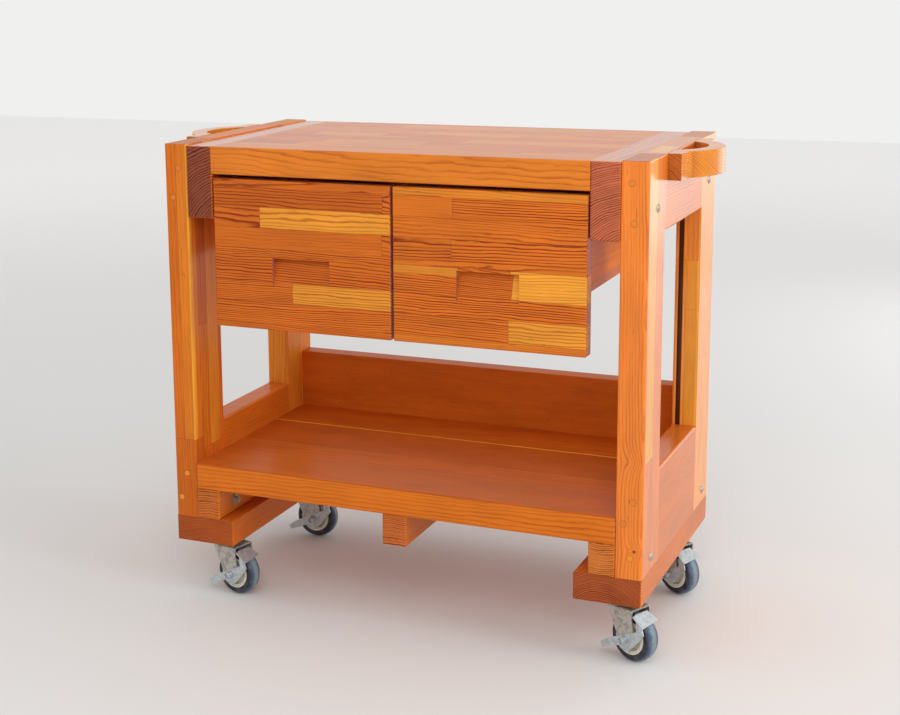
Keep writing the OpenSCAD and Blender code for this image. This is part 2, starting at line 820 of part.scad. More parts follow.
module caster_screw_holes(z, depth) {
    for (h = plate_holes) translate([h[0], h[1], z - past])
        cylinder(r = caster_screw_d / 2 + fit, h = depth + past);
}

kingpin_head_h = 2;
kingpin_rim = 3;
kingpin_end_z = crown_in_z - turn_gap - kingpin_head_h;

module caster_plates() {
    color(steel) for (c = casters) translate([c[0], c[1], 0]) {
        difference() {
            translate([-plate_l / 2, -plate_w / 2, plate_z])
                board([plate_l, plate_w, plate_t],
                    xy = [plate_corner_r, plate_corner_r, plate_corner_r, plate_corner_r]);
            caster_screw_holes(plate_z, plate_t + past);
        }
        translate([0, 0, kingpin_end_z]) cylinder(r = kingpin_d / 2, h = plate_z + plate_t - kingpin_end_z);
        translate([0, 0, kingpin_end_z]) cylinder(r = kingpin_d / 2 + kingpin_rim, h = kingpin_head_h);
    }
}

module caster_screws() {
    head_h = 2.6;
    color(steel) for (c = casters, h = plate_holes)
        translate([c[0] + h[0], c[1] + h[1], plate_z - head_h]) {
            cylinder(r = caster_screw_d, h = head_h);
            cylinder(r = caster_screw_d / 2, h = head_h + caster_screw_len);
        }
}

// Radius of the cheeks round the axle, and how far the fork's crown reaches past the axle
cheek_end_r = 15;
crown_past_axle = 10;
crown_end = trail + crown_past_axle;

// Outline of the fork's cheeks, seen from the pedal side
module cheek_outline() {
    axle = [trail, axle_z];
    lead_top = [-2, crown_z];
    trail_low = [crown_end, axle_z + 32];
    translate(axle) circle(cheek_end_r);
    polygon([lead_top, [crown_end, crown_z], trail_low, touch(trail_low, axle, cheek_end_r, -1), axle,
        touch(lead_top, axle, cheek_end_r, 1)]);
}

module fork() {
    inner_w = fork_w - 2 * fork_t;
    bend_r = 2 * fork_t;
    reach = crown_end + cheek_end_r;
    color(steel) difference() {
        union() {
            intersection() {
                translate([0, fork_w / 2, 0]) rotate([90, 0, 0]) linear_extrude(fork_w) cheek_outline();
                translate([-reach, 0, 0]) rotate([90, 0, 90]) linear_extrude(2 * reach) difference() {
                    translate([-fork_w / 2, 0]) section(fork_w, crown_z, [0, 0, bend_r, bend_r]);
                    translate([-inner_w / 2, -past])
                        section(inner_w, crown_in_z + past, [0, 0, fork_t, fork_t]);
                }
            }
            translate([0, 0, crown_in_z]) cylinder(r = race_d / 2 + 1, h = fork_t);
            translate([0, 0, crown_z - past]) cylinder(r = race_d / 2, h = race_h + past - turn_gap);
        }
        translate([0, 0, crown_in_z - past]) cylinder(r = kingpin_d / 2 + fit, h = race_h + fork_t + 2 * past);
        translate([trail, 0, axle_z]) rotate([90, 0, 0])
            cylinder(r = axle_d / 2 + fit, h = fork_w + 2 * past, center = true);
    }
}

// Axle bolt with its head on the far side and its long nut outside the pedal
module axle_bolt() {
    far = fork_w / 2;
    head_h = 5;
    head_r = 0.85 * axle_d;
    color(steel) translate([trail, 0, axle_z]) rotate([90, 0, 0]) {
        translate([0, 0, -far - head_h]) cylinder(r = head_r, h = head_h, $fn = 6);
        translate([0, 0, -far - past]) cylinder(r = axle_d / 2, h = far + nut_reach);
        translate([0, 0, pedal_outer + turn_gap]) difference() {
            cylinder(r = axle_nut_d / 2, h = axle_nut_len);
            translate([0, 0, -past]) cylinder(r = axle_d / 2 + fit, h = axle_nut_len + 2 * past);
        }
    }
}

// Tyre with flat sidewalls and a tread that is crowned in an arc
module tyre() {
    rim_r = wheel_d / 2 - tyre_t;
    tread_r = (tyre_crown ^ 2 + (tyre_w / 2) ^ 2) / (2 * tyre_crown);
    color(rubber) translate([trail, 0, axle_z]) rotate([90, 0, 0]) rotate_extrude() intersection() {
        translate([rim_r, -tyre_w / 2]) square([tyre_t, tyre_w]);
        translate([wheel_d / 2 - tread_r, 0]) circle(tread_r);
    }
}

module hub() {
    rim_t = 4;
    boss_t = 5;
    lip = 1;
    web = 4;
    rim_r = wheel_d / 2 - tyre_t;
    rim_in = rim_r - rim_t;
    rim_half = tyre_w / 2 + lip;
    boss_r = axle_d / 2 + boss_t;
    half = fork_w / 2 - fork_t - turn_gap;
    color(ivory) translate([trail, 0, axle_z]) rotate([90, 0, 0]) rotate_extrude() polygon([
        [axle_d / 2 + fit, -half], [boss_r, -half], [boss_r, -web], [rim_in, -web], [rim_in, -rim_half],
        [rim_r, -rim_half], [rim_r, rim_half], [rim_in, rim_half], [rim_in, web], [boss_r, web],
        [boss_r, half], [axle_d / 2 + fit, half]]);
}

// Bent sheet: a pad over the tyre, and a plate outside the fork's cheek that ends in the foot tab
module brake_pedal() {
    pad_half = fork_w / 2 - fork_t - pad_side_gap;
    color(steel) translate([trail, 0, axle_z]) difference() {
        union() {
            translate([0, -pedal_inner, 0]) rotate([90, 0, 0]) linear_extrude(pedal_t) {
                polygon(concat([pedal_tip[1], pedal_top_edge[0], pedal_neck,
                    pad_point(pad_neck_start, pedal_t / 2), pad_point(pad_near_end - past, pedal_t / 2)],
                    pedal_tail, [[0, 0]], pedal_underside, [pedal_tip[0]]));
                intersection() {
                    union() {
                        circle(pedal_boss_r);
                        polygon([[0, 0], touch(pedal_tail[1], [0, 0], pedal_boss_r, -1), pedal_tail[1]]);
                    }
                    translate([0, -past]) polygon([pedal_top_edge[0], [-pedal_reach, -pedal_reach],
                        [2 * pedal_reach, -pedal_reach], pedal_top_edge[1]]);
                }
            }
            rotate([0, pad_lean, 0]) translate([0, 0, pad_r]) linear_extrude(pedal_t)
                polygon([[pad_start, -pad_half], [pad_start, pad_start_reach], pad_far_corner,
                    [pad_near_end, -pedal_outer], [pad_wide_start, -pedal_outer], [pad_wide_start, -pad_half]]);
        }
        rotate([90, 0, 0]) translate([0, 0, pedal_inner - past])
            cylinder(r = axle_d / 2 + fit, h = pedal_t + 2 * past);
    }
}

// Every node, drawn once

on_side(-1) front_post(concat(left_top_dowels, left_low_dowels));  // left_front_post
on_side(-1) rear_post(concat(left_top_dowels, left_low_dowels));  // left_rear_post
on_side(-1) top_rail(left_top_dowels);  // left_top_rail
on_side(-1) bottom_rail(left_low_dowels);  // left_bottom_rail
on_side(-1) foot_beam(-1);  // left_foot_beam
on_side(-1) handle();  // left_handle
front_post(concat(right_top_dowels, right_low_dowels));  // right_front_post
right_rear_post();
top_rail(right_top_dowels);  // right_top_rail
bottom_rail(right_low_dowels);  // right_bottom_rail
foot_beam(1);  // right_foot_beam
handle();  // right_handle
on_side(-1) bearer();  // left_bearer
bearer();  // right_bearer
table_top();
drawer_divider();
drawer_runners();
shelf_front_board();
shelf_middle_board();
shelf_rear_board();
rear_board();
on_side(-1) side_cleat();  // left_cleat
centre_cleat();
side_cleat();  // right_cleat
frame_bolts();
bolt_nuts_and_washers();
frame_dowels();
wood_screws();
caster_plates();
caster_screws();
on_side(-1) drawer_front();  // left_drawer_front
on_side(-1) outer_side();  // left_drawer_left_side
on_side(-1) inner_side();  // left_drawer_right_side
on_side(-1) drawer_back();  // left_drawer_back
on_side(-1) drawer_bottom();  // left_drawer_bottom
drawer_front();  // right_drawer_front
inner_side();  // right_drawer_left_side
outer_side();  // right_drawer_right_side
drawer_back();  // right_drawer_back
drawer_bottom();  // right_drawer_bottom
at_caster(front_left) fork();  // front_left_fork
at_caster(front_left) axle_bolt();  // front_left_axle_bolt
at_caster(front_left) tyre();  // front_left_tyre
at_caster(front_left) hub();  // front_left_hub
at_caster(front_left) brake_pedal();  // front_left_brake_pedal
at_caster(front_right) fork();  // front_right_fork
at_caster(front_right) axle_bolt();  // front_right_axle_bolt
at_caster(front_right) tyre();  // front_right_tyre
at_caster(front_right) hub();  // front_right_hub
at_caster(front_right) brake_pedal();  // front_right_brake_pedal
at_caster(rear_left) fork();  // rear_left_fork
at_caster(rear_left) axle_bolt();  // rear_left_axle_bolt
at_caster(rear_left) tyre();  // rear_left_tyre
at_caster(rear_left) hub();  // rear_left_hub
at_caster(rear_left) brake_pedal();  // rear_left_brake_pedal
at_caster(rear_right) fork();  // rear_right_fork
at_caster(rear_right) axle_bolt();  // rear_right_axle_bolt
at_caster(rear_right) tyre();  // rear_right_tyre
at_caster(rear_right) hub();  // rear_right_hub
at_caster(rear_right) brake_pedal();  // rear_right_brake_pedal
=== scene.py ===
"""Looks of a wooden kitchen cart, built round its packed solids."""

import json
import math

import bmesh
import bpy
from bpy.props import FloatProperty, FloatVectorProperty, IntProperty, PointerProperty
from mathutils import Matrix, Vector


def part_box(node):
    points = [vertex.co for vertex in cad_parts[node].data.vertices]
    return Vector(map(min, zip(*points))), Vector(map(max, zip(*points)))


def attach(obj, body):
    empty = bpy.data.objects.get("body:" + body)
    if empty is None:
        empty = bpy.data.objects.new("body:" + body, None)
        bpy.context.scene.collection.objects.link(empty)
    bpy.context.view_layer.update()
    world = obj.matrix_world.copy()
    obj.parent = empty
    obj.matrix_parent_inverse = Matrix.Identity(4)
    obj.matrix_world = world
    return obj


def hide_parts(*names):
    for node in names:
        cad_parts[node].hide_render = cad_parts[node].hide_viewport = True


bl_info = {
    "name": "Kitchen Cart",
    "version": (1, 0, 0),
    "blender": (4, 5, 0),
    "location": "3D View > Sidebar > Cart",
    "description": "Finishes the boards of a kitchen cart and models its handles and casters",
    "category": "Object",
}

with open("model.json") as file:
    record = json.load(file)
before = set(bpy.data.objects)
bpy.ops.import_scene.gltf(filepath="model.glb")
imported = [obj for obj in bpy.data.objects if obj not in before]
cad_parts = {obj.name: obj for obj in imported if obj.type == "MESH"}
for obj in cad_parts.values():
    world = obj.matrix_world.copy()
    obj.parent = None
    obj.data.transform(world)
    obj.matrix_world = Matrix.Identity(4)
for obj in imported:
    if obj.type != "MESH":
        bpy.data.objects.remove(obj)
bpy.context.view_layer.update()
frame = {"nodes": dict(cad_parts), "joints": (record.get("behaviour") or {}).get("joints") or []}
MM = 0.001
CORNERS = ("front_left", "front_right", "rear_left", "rear_right")
# Front faces of the posts, in millimetres
FRONT = -207
# Radius of the dark circles round the dowels' ends
PLUG_RADIUS = 4.6 * MM
# What the lamps point at, in metres
LAMP_TARGET = (0, 0, 0.4)


def screen(red, green, blue):
    """Turns a screen colour, each part from 0 to 255, into Blender's linear light."""
    parts = (red / 255, green / 255, blue / 255)
    return tuple(p / 12.92 if p <= 0.04045 else ((p + 0.055) / 1.055) ** 2.4 for p in parts)


def in_metres(point):
    """A point in metres from one in millimetres."""
    return [c * MM for c in point]


def joint(name):
    """The packed record's entry for a joint."""
    return next(j for j in frame["joints"] if j["name"] == name)


def colour_property(name, description, shade):
    """A colour that a user can change."""
    return FloatVectorProperty(
        name=name, description=description, subtype="COLOR", size=3, min=0, max=1, default=screen(*shade)
    )


def length_property(name, description, millimetres):
    """A length that a user can change."""
    return FloatProperty(
        name=name, description=description, subtype="DISTANCE", unit="LENGTH", min=0,
        default=millimetres * MM
    )


def share_property(name, description, default):
    """A share from nothing to all that a user can change."""
    return FloatProperty(
        name=name, description=description, subtype="FACTOR", min=0, max=1, default=default
    )


def power_property(name, description, watts):
    """A lamp's power that a user can change."""
    return FloatProperty(name=name, description=description, unit="POWER", min=0, default=watts)


# Settings


class CartTimber(bpy.types.PropertyGroup):
    """Colours and varnish of the boards"""

    light: colour_property("Early wood", "Colour between the rings of an orange board", (216, 112, 30))
    dark: colour_property("Late wood", "Colour of the rings", (144, 48, 6))
    # The pale colour also paints highlights: on the left front post's rounded inner edge and along the
    # shelf boards' joints.
    pale: colour_property("Pale stave", "Colour of the palest staves", (238, 158, 52))
    end: colour_property("End grain", "Colour of the boards' cut ends", (204, 116, 70))
    bearer_end: colour_property("Bearer end", "Colour of the left bearer's cut end", (140, 68, 47))
    red_end: colour_property("Red end", "Colour of the right bearer's cut end", (198, 102, 70))
    varnish_roughness: share_property("Varnish roughness", "How dull the varnish is", 0.42)
    varnish_shine: share_property("Varnish shine", "How strongly the varnish reflects", 0.08)


class CartHandles(bpy.types.PropertyGroup):
    """Sizes of the bow handles"""

    end_thickness: length_property("End thickness", "Thickness of a handle's straight ends", 20)
    bow_radius: length_property("Bow radius", "Radius of the outer bow", 93.5)
    slot_radius: length_property("Slot radius", "Radius of the finger slot", 69)
    bow_inset: length_property("Bow inset", "From the frame's face in to the bow's centre", 36)
    hollow_radius: length_property("Hollow radius", "Radius where the bow meets the ends", 20)
    edge_round: length_property("Edge rounding", "Rounding of the handle's edges", 1.2)


class CartCasters(bpy.types.PropertyGroup):
    """Sizes of the casters"""

    trail: length_property("Trail", "From the swivel axis back to the axle", 43)
    tyre_thickness: length_property("Tyre thickness", "From the hub's rim to the tread", 12)
    tyre_width: length_property("Tyre width", "Width of a tyre", 25)
    tyre_crown: length_property("Tyre crown", "How much lower the tread is at its sides", 4.5)
    fork_width: length_property("Fork width", "Width over the fork's cheeks", 42)
    fork_sheet: length_property("Fork sheet", "Thickness of the fork's sheet metal", 2.5)
    fork_flange: length_property("Fork flange", "Width of the fork's slanted leading edges", 7)
    fork_bend: length_property("Fork bend", "Outer radius of the fork's bends", 4)
    pedal_sheet: length_property("Pedal sheet", "Thickness of the brake pedal's sheet metal", 2)
    pad_lean: FloatProperty(
        name="Pad lean", description="How far the brake pad leans back", subtype="ANGLE",
        unit="ROTATION", default=math.radians(37.5)
    )
    nut_diameter: length_property("Nut diameter", "Diameter of the long nut on the axle", 11.5)
    nut_length: length_property("Nut length", "Length of the long nut on the axle", 9.5)
    turn_steps: IntProperty(
        name="Steps", description="Steps round a turned piece", min=16, max=128, default=72
    )


class CartMetal(bpy.types.PropertyGroup):
    """Colours of the casters and bolts"""

    zinc: colour_property("Zinc", "Colour of the dull plated sheet", (190, 185, 177))
    bright: colour_property("Bright zinc", "Colour of the bright plated sheet", (196, 204, 208))
    steel: colour_property("Bolt steel", "Colour of the frame bolts", (178, 172, 160))
    rubber: colour_property("Rubber", "Colour of the tyres' sides", (30, 27, 40))
    tread: colour_property("Tread", "Colour of the tyres' treads", (62, 84, 120))
    worn_tread: colour_property("Worn tread", "Colour of the worn stripe", (130, 150, 150))
    ivory: colour_property("Hub", "Colour of the hubs", (232, 228, 210))


class CartStage(bpy.types.PropertyGroup):
    """Floor, light and camera"""

    camera_place: FloatVectorProperty(
        name="Camera place", description="Where the camera stands", subtype="TRANSLATION",
        unit="LENGTH", default=(0.939681, -2.379707, 1.012288)
    )
    camera_turn: FloatVectorProperty(
        name="Camera turn", description="How the camera is turned", subtype="EULER",
        unit="ROTATION", default=(math.radians(78.9854), math.radians(0.7871), math.radians(24.3863))
    )
    lens: FloatProperty(
        name="Lens", description="Focal length in millimetres", min=1, default=64.618
    )
    lens_shift: FloatVectorProperty(
        name="Lens shift", description="Shift of the picture, as a share of its width", size=2,
        default=(0.1, -0.0867)
    )
    floor: colour_property("Floor", "Colour of the floor", (232, 231, 229))
    backdrop: colour_property("Backdrop", "Colour behind the cart", (240, 240, 239))
    sky_strength: FloatProperty(
        name="Sky strength", description="Soft light from all sides", min=0, default=0.7
    )
    key_power: power_property("Key light", "Power of the front lamp", 33)
    side_power: power_property("Side light", "Power of the side lamp", 77)
    back_power: power_property("Back light", "Power of the back lamp", 11.5)


# Shader nodes


class Nodes:
    """Adds nodes to one tree, lays them out in columns and wires them."""

    def __init__(self, tree):
        self.tree = tree
        self.count = 0

    def add(self, kind, **settings):
        """One new node."""
        node = self.tree.nodes.new(kind)
        node.location = (230 * (self.count // 4), -280 * (self.count % 4))
        self.count += 1
        for name, setting in settings.items():
            setattr(node, name, setting)
        return node

    def feed(self, socket, source):
        """Wires a socket to another, or sets its value."""
        if isinstance(source, bpy.types.NodeSocket):
            self.tree.links.new(source, socket)
        else:
            socket.default_value = source

    def math(self, operation, *sources, clamp=False):
        """A sum on numbers."""
        node = self.add("ShaderNodeMath", operation=operation, use_clamp=clamp)
        for socket, source in zip(node.inputs, sources):
            self.feed(socket, source)
        return node.outputs[0]

    def vector(self, operation, *sources):
        """A sum on vectors."""
        node = self.add("ShaderNodeVectorMath", operation=operation)
        for socket, source in zip(node.inputs, sources):
            self.feed(socket, source)
        return node.outputs["Value" if operation in {"LENGTH", "DOT_PRODUCT", "DISTANCE"} else "Vector"]

    def ease(self, source, low, high, to_low=0.0, to_high=1.0):
        """A smooth step between two values."""
        node = self.add("ShaderNodeMapRange", interpolation_type="SMOOTHSTEP")
        for socket, value in zip(node.inputs, (source, low, high, to_low, to_high)):
            self.feed(socket, value)
        return node.outputs[0]

    def noise(self, vector, scale, detail=2.0, roughness=0.5, output="Fac"):
        """Cloudy noise."""
        node = self.add("ShaderNodeTexNoise")
        self.feed(node.inputs["Vector"], vector)
        self.feed(node.inputs["Scale"], scale)
        self.feed(node.inputs["Detail"], detail)
        self.feed(node.inputs["Roughness"], roughness)
        return node.outputs[output]

    def chance(self, source, output="Value"):
        """A random value for each whole number."""
        node = self.add("ShaderNodeTexWhiteNoise", noise_dimensions="1D")
        self.feed(node.inputs["W"], source)
        return node.outputs[output]

    def mix(self, factor, first, second, blend="MIX"):
        """Two colours mixed. The node's sockets 0, 6 and 7 are the factor and the colours."""
        node = self.add("ShaderNodeMix", data_type="RGBA", blend_type=blend)
        self.feed(node.inputs[0], factor)
        self.feed(node.inputs[6], first)
        self.feed(node.inputs[7], second)
        return node.outputs[2]

    def blend(self, factor, first, second):
        """Two numbers mixed. The node's sockets 0, 2 and 3 are the factor and the numbers."""
        node = self.add("ShaderNodeMix", data_type="FLOAT")
        self.feed(node.inputs[0], factor)
        self.feed(node.inputs[2], first)
        self.feed(node.inputs[3], second)
        return node.outputs[0]

    def stretch(self, vector, share):
        """A place with its height scaled, which draws a noise out along the grain."""
        return self.vector("MULTIPLY", vector, (1.0, 1.0, share))

    def parts(self, vector):
        """The three parts of a vector."""
        node = self.add("ShaderNodeSeparateXYZ")
        self.feed(node.inputs[0], vector)
        return node.outputs

    def whole(self, x, y, z):
        """A vector from three parts."""
        node = self.add("ShaderNodeCombineXYZ")
        for socket, source in zip(node.inputs, (x, y, z)):
            self.feed(socket, source)
        return node.outputs[0]

    def use(self, group, **sources):
        """One copy of a node group, fed by its inputs' names with _ for a space."""
        node = self.add("ShaderNodeGroup", node_tree=bpy.data.node_groups[group])
        for name, source in sources.items():
            self.feed(node.inputs[name.replace("_", " ").title()], source)
        return node.outputs


def new_group(name, inputs, outputs):
    """An empty node group with named sockets. Returns its nodes, its inputs and its outputs."""
    kinds = {"number": "NodeSocketFloat", "vector": "NodeSocketVector", "colour": "NodeSocketColor"}
    tree = bpy.data.node_groups.new(name, "ShaderNodeTree")
    for label, kind in inputs.items():
        tree.interface.new_socket(label, in_out="INPUT", socket_type=kinds[kind])
    for label, kind in outputs.items():
        tree.interface.new_socket(label, in_out="OUTPUT", socket_type=kinds[kind])
    nodes = Nodes(tree)
    return nodes, nodes.add("NodeGroupInput").outputs, nodes.add("NodeGroupOutput").inputs


def make_stave_group():
    """A box-shaped stave laid over those before it.
    It sets the tone, number and figure inside the box, and draws a seam round it."""
    nodes, given, made = new_group(
        "Stave",
        {"Vector": "vector", "Low": "vector", "High": "vector", "New Tone": "number",
         "New Number": "number", "New Figure": "number", "Tone": "number", "Number": "number",
         "Figure": "number", "Seam": "number"},
        {"Tone": "number", "Number": "number", "Figure": "number", "Seam": "number"},
    )
    over = nodes.parts(nodes.vector("SUBTRACT", given["Vector"], given["Low"]))
    under = nodes.parts(nodes.vector("SUBTRACT", given["High"], given["Vector"]))
    depth = over[0]
    for part in (over[1], over[2], under[0], under[1], under[2]):
        depth = nodes.math("MINIMUM", depth, part)
    inside = nodes.math("GREATER_THAN", depth, 0.0)
    edge = nodes.ease(nodes.math("ABSOLUTE", depth), 0.0002, 0.0009, 1.0, 0.0)
    nodes.feed(made["Tone"], nodes.blend(inside, given["Tone"], given["New Tone"]))
    nodes.feed(made["Number"], nodes.blend(inside, given["Number"], given["New Number"]))
    nodes.feed(made["Figure"], nodes.blend(inside, given["Figure"], given["New Figure"]))
    kept = nodes.math("MULTIPLY", given["Seam"], nodes.math("SUBTRACT", 1.0, inside))
    nodes.feed(made["Seam"], nodes.math("MAXIMUM", kept, edge))


def make_rows_group():
    """Rows of staves with staggered joints.
    The staves lie along Z, and the rows are counted across Y."""
    nodes, given, made = new_group(
        "Stave rows",
        {"Vector": "vector", "Width": "number", "Length": "number", "Seed": "number"},
        {"Tone": "number", "Number": "number", "Seam": "number"},
    )
    place = nodes.parts(given["Vector"])
    across = nodes.math("DIVIDE", place[1], given["Width"])
    row = nodes.math("FLOOR", across)
    start = nodes.math("MULTIPLY", nodes.chance(nodes.math("ADD", row, given["Seed"])), 7.0)
    along = nodes.math("ADD", nodes.math("DIVIDE", place[2], given["Length"]), start)
    cell = nodes.math("FLOOR", along)
    number = nodes.math("ADD", nodes.math("MULTIPLY_ADD", row, 17.0, given["Seed"]), cell)
    nodes.feed(made["Number"], number)
    tone = nodes.chance(nodes.math("ADD", number, 0.5))
    nodes.feed(made["Tone"], nodes.math("MULTIPLY_ADD", tone, 2.0, -1.0))
    side = nodes.math("MULTIPLY", nodes.math("PINGPONG", across, 0.5), given["Width"])
    end = nodes.math("MULTIPLY", nodes.math("PINGPONG", along, 0.5), given["Length"])
    nodes.feed(made["Seam"], nodes.ease(nodes.math("MINIMUM", side, end), 0.0001, 0.0007, 1.0, 0.0))


def make_knot_group():
    """A round knot: 1 at its middle, falling away round it, added to the knots before it."""
    nodes, given, made = new_group(
        "Knot",
        {"Vector": "vector", "Place": "vector", "Size": "number", "Knot": "number"},
        {"Knot": "number"},
    )
    distance = nodes.vector("DISTANCE", given["Vector"], given["Place"])
    away = nodes.math("DIVIDE", distance, given["Size"])
    fall = nodes.math("DIVIDE", 1.0, nodes.math("ADD", nodes.math("MULTIPLY", away, away), 1.0))
    nodes.feed(made["Knot"], nodes.math("MAXIMUM", fall, given["Knot"]))


def make_grain_group():
    """Growth rings round an upright heart line, with fibres, resin flecks and soft blotches.
    Each stave number moves the heart line, as if the stave came from another part of the log."""
    nodes, given, made = new_group(
        "Timber grain",
        {"Vector": "vector", "Ring Width": "number", "Waviness": "number", "Spread": "number",
         "Number": "number", "Knot": "number"},
        {"Rings": "number", "Fibre": "number", "Blotch": "number", "Flecks": "number"},
    )
    shift = nodes.vector("SUBTRACT", nodes.chance(given["Number"], "Color"), (0.5, 0.5, 0.5))
    spread = nodes.whole(given["Spread"], given["Spread"], 3.0)
    placed = nodes.vector("ADD", given["Vector"], nodes.vector("MULTIPLY", shift, spread))
    height = nodes.parts(given["Vector"])[2]
    lean = nodes.vector("MULTIPLY", shift, (0.07, 0.07, 0.0))
    leaning = nodes.add("ShaderNodeVectorMath", operation="SCALE")
    nodes.feed(leaning.inputs[0], lean)
    nodes.feed(leaning.inputs["Scale"], height)
    slow = nodes.stretch(placed, 0.2)
    sway = nodes.vector("SUBTRACT", nodes.noise(slow, 14.0, 2.0, 0.5, "Color"), (0.5, 0.5, 0.5))
    swayed = nodes.vector("MULTIPLY", sway, nodes.whole(given["Waviness"], given["Waviness"], 0.0))
    bent = nodes.vector("ADD", nodes.vector("ADD", placed, leaning.outputs[0]), swayed)
    radius = nodes.vector("LENGTH", nodes.stretch(bent, 0.0))
    radius = nodes.math("DIVIDE", radius, given["Ring Width"])
    seasons = nodes.noise(nodes.whole(radius, 0.0, given["Number"]), 0.35, 1.0)
    wobble = nodes.noise(nodes.stretch(placed, 0.42), 62.0, 2.0)
    fine = nodes.noise(nodes.stretch(placed, 0.05), 210.0, 2.0)
    age = nodes.math("MULTIPLY_ADD", seasons, 1.8, radius)
    age = nodes.math("MULTIPLY_ADD", wobble, 0.9, age)
    age = nodes.math("MULTIPLY_ADD", fine, 0.45, age)
    age = nodes.math("MULTIPLY_ADD", given["Knot"], 9.0, age)
    year = nodes.math("FLOOR", age)
    season = nodes.math("SUBTRACT", age, year)
    rise = nodes.ease(season, 0.48, 0.88)
    fall = nodes.ease(season, 0.91, 1.0, 1.0, 0.0)
    strength = nodes.math("MULTIPLY_ADD", nodes.chance(nodes.math("ADD", year, 0.25)), 0.6, 0.5)
    fade = nodes.ease(nodes.noise(slow, 30.0, 1.0), 0.3, 0.62, 0.55, 1.1)
    late_wood = nodes.math("MULTIPLY", rise, fall)
    nodes.feed(made["Rings"], nodes.math("MULTIPLY", late_wood, nodes.math("MULTIPLY", strength, fade)))
    nodes.feed(made["Fibre"], nodes.noise(nodes.stretch(placed, 0.03), 700.0, 3.0, 0.6))
    nodes.feed(made["Blotch"], nodes.noise(nodes.stretch(placed, 0.3), 20.0, 3.0, 0.6))
    resin = nodes.noise(nodes.stretch(placed, 0.14), 330.0, 1.0)
    nodes.feed(made["Flecks"], nodes.ease(resin, 0.71, 0.79))


def make_plug_group():
    """The dark circle round a dowel that runs front to back, added to those before it."""
    nodes, given, made = new_group(
        "Dowel circle",
        {"Vector": "vector", "Place": "vector", "Radius": "number", "Circle": "number"},
        {"Circle": "number"},
    )
    across = nodes.vector("SUBTRACT", given["Vector"], given["Place"])
    across = nodes.vector("LENGTH", nodes.vector("MULTIPLY", across, (1.0, 0.0, 1.0)))
    away = nodes.math("ABSOLUTE", nodes.math("SUBTRACT", across, given["Radius"]))
    line = nodes.ease(away, 0.0002, 0.001, 1.0, 0.0)
    nodes.feed(made["Circle"], nodes.math("MAXIMUM", line, given["Circle"]))


def make_wood_group():
    """Colour, roughness and height of varnished wood from its grain."""
    nodes, given, made = new_group(
        "Varnished wood",
        {"Light": "colour", "Dark": "colour", "Pale": "colour", "End": "colour",
         "Rings": "number", "Fibre": "number", "Blotch": "number", "Flecks": "number",
         "Tone": "number", "Figure": "number", "Seam": "number", "End Grain": "number",
         "End Contrast": "number", "Knot": "number", "Roughness": "number"},
        {"Color": "colour", "Roughness": "number", "Height": "number"},
    )
    paleness = nodes.ease(given["Tone"], 0.0, 1.0)
    darkness = nodes.ease(given["Tone"], -1.0, 0.0, 1.0, 0.0)
    early = nodes.mix(paleness, given["Light"], given["Pale"])
    late = nodes.mix(nodes.math("MULTIPLY", paleness, 0.5), given["Dark"], given["Pale"])
    rings = nodes.math("MULTIPLY", given["Rings"], given["Figure"], clamp=True)
    colour = nodes.mix(rings, early, late)
    colour = nodes.mix(nodes.math("MULTIPLY", darkness, 0.6), colour, given["Dark"])
    end_rings = nodes.math("MULTIPLY", given["Rings"], given["Figure"])
    end_rings = nodes.math("MULTIPLY", end_rings, given["End Contrast"], clamp=True)
    cut = nodes.mix(nodes.math("MULTIPLY", paleness, 0.75), given["End"], given["Pale"])
    cut = nodes.mix(end_rings, cut, nodes.mix(1.0, cut, (0.26, 0.2, 0.19, 1), "MULTIPLY"))
    colour = nodes.mix(given["End Grain"], colour, cut)
    pith = nodes.mix(1.0, given["Dark"], (0.5, 0.5, 0.5, 1), "MULTIPLY")
    colour = nodes.mix(nodes.ease(given["Knot"], 0.5, 0.85, 0.0, 0.9), colour, pith)
    shade = nodes.math("MULTIPLY_ADD", given["Blotch"], 0.55, 0.725)
    shade = nodes.math("ADD", shade, nodes.math("MULTIPLY_ADD", given["Fibre"], 0.4, -0.2))
    shade = nodes.math("MULTIPLY", shade, nodes.math("MULTIPLY_ADD", given["Seam"], -0.45, 1.0))
    # Tones below -1 darken towards black: this paints the shade in the right rear post's groove and
    # draws the dark lines on the table top.
    shade = nodes.math("MULTIPLY", shade, nodes.ease(given["Tone"], -2.0, -1.0, 0.25, 1.0))
    shade = nodes.math("MULTIPLY", shade, nodes.math("MULTIPLY_ADD", given["Flecks"], -0.3, 1.0))
    nodes.feed(made["Color"], nodes.mix(1.0, colour, nodes.whole(shade, shade, shade), "MULTIPLY"))
    rough = nodes.math("MULTIPLY_ADD", given["Blotch"], 0.16, -0.08)
    rough = nodes.math("MULTIPLY_ADD", rings, -0.05, rough)
    nodes.feed(made["Roughness"], nodes.math("ADD", rough, given["Roughness"], clamp=True))
    height = nodes.math("MULTIPLY_ADD", rings, 0.5, nodes.math("MULTIPLY", given["Fibre"], 0.25))
    nodes.feed(made["Height"], nodes.math("MULTIPLY_ADD", given["Seam"], -0.8, height))


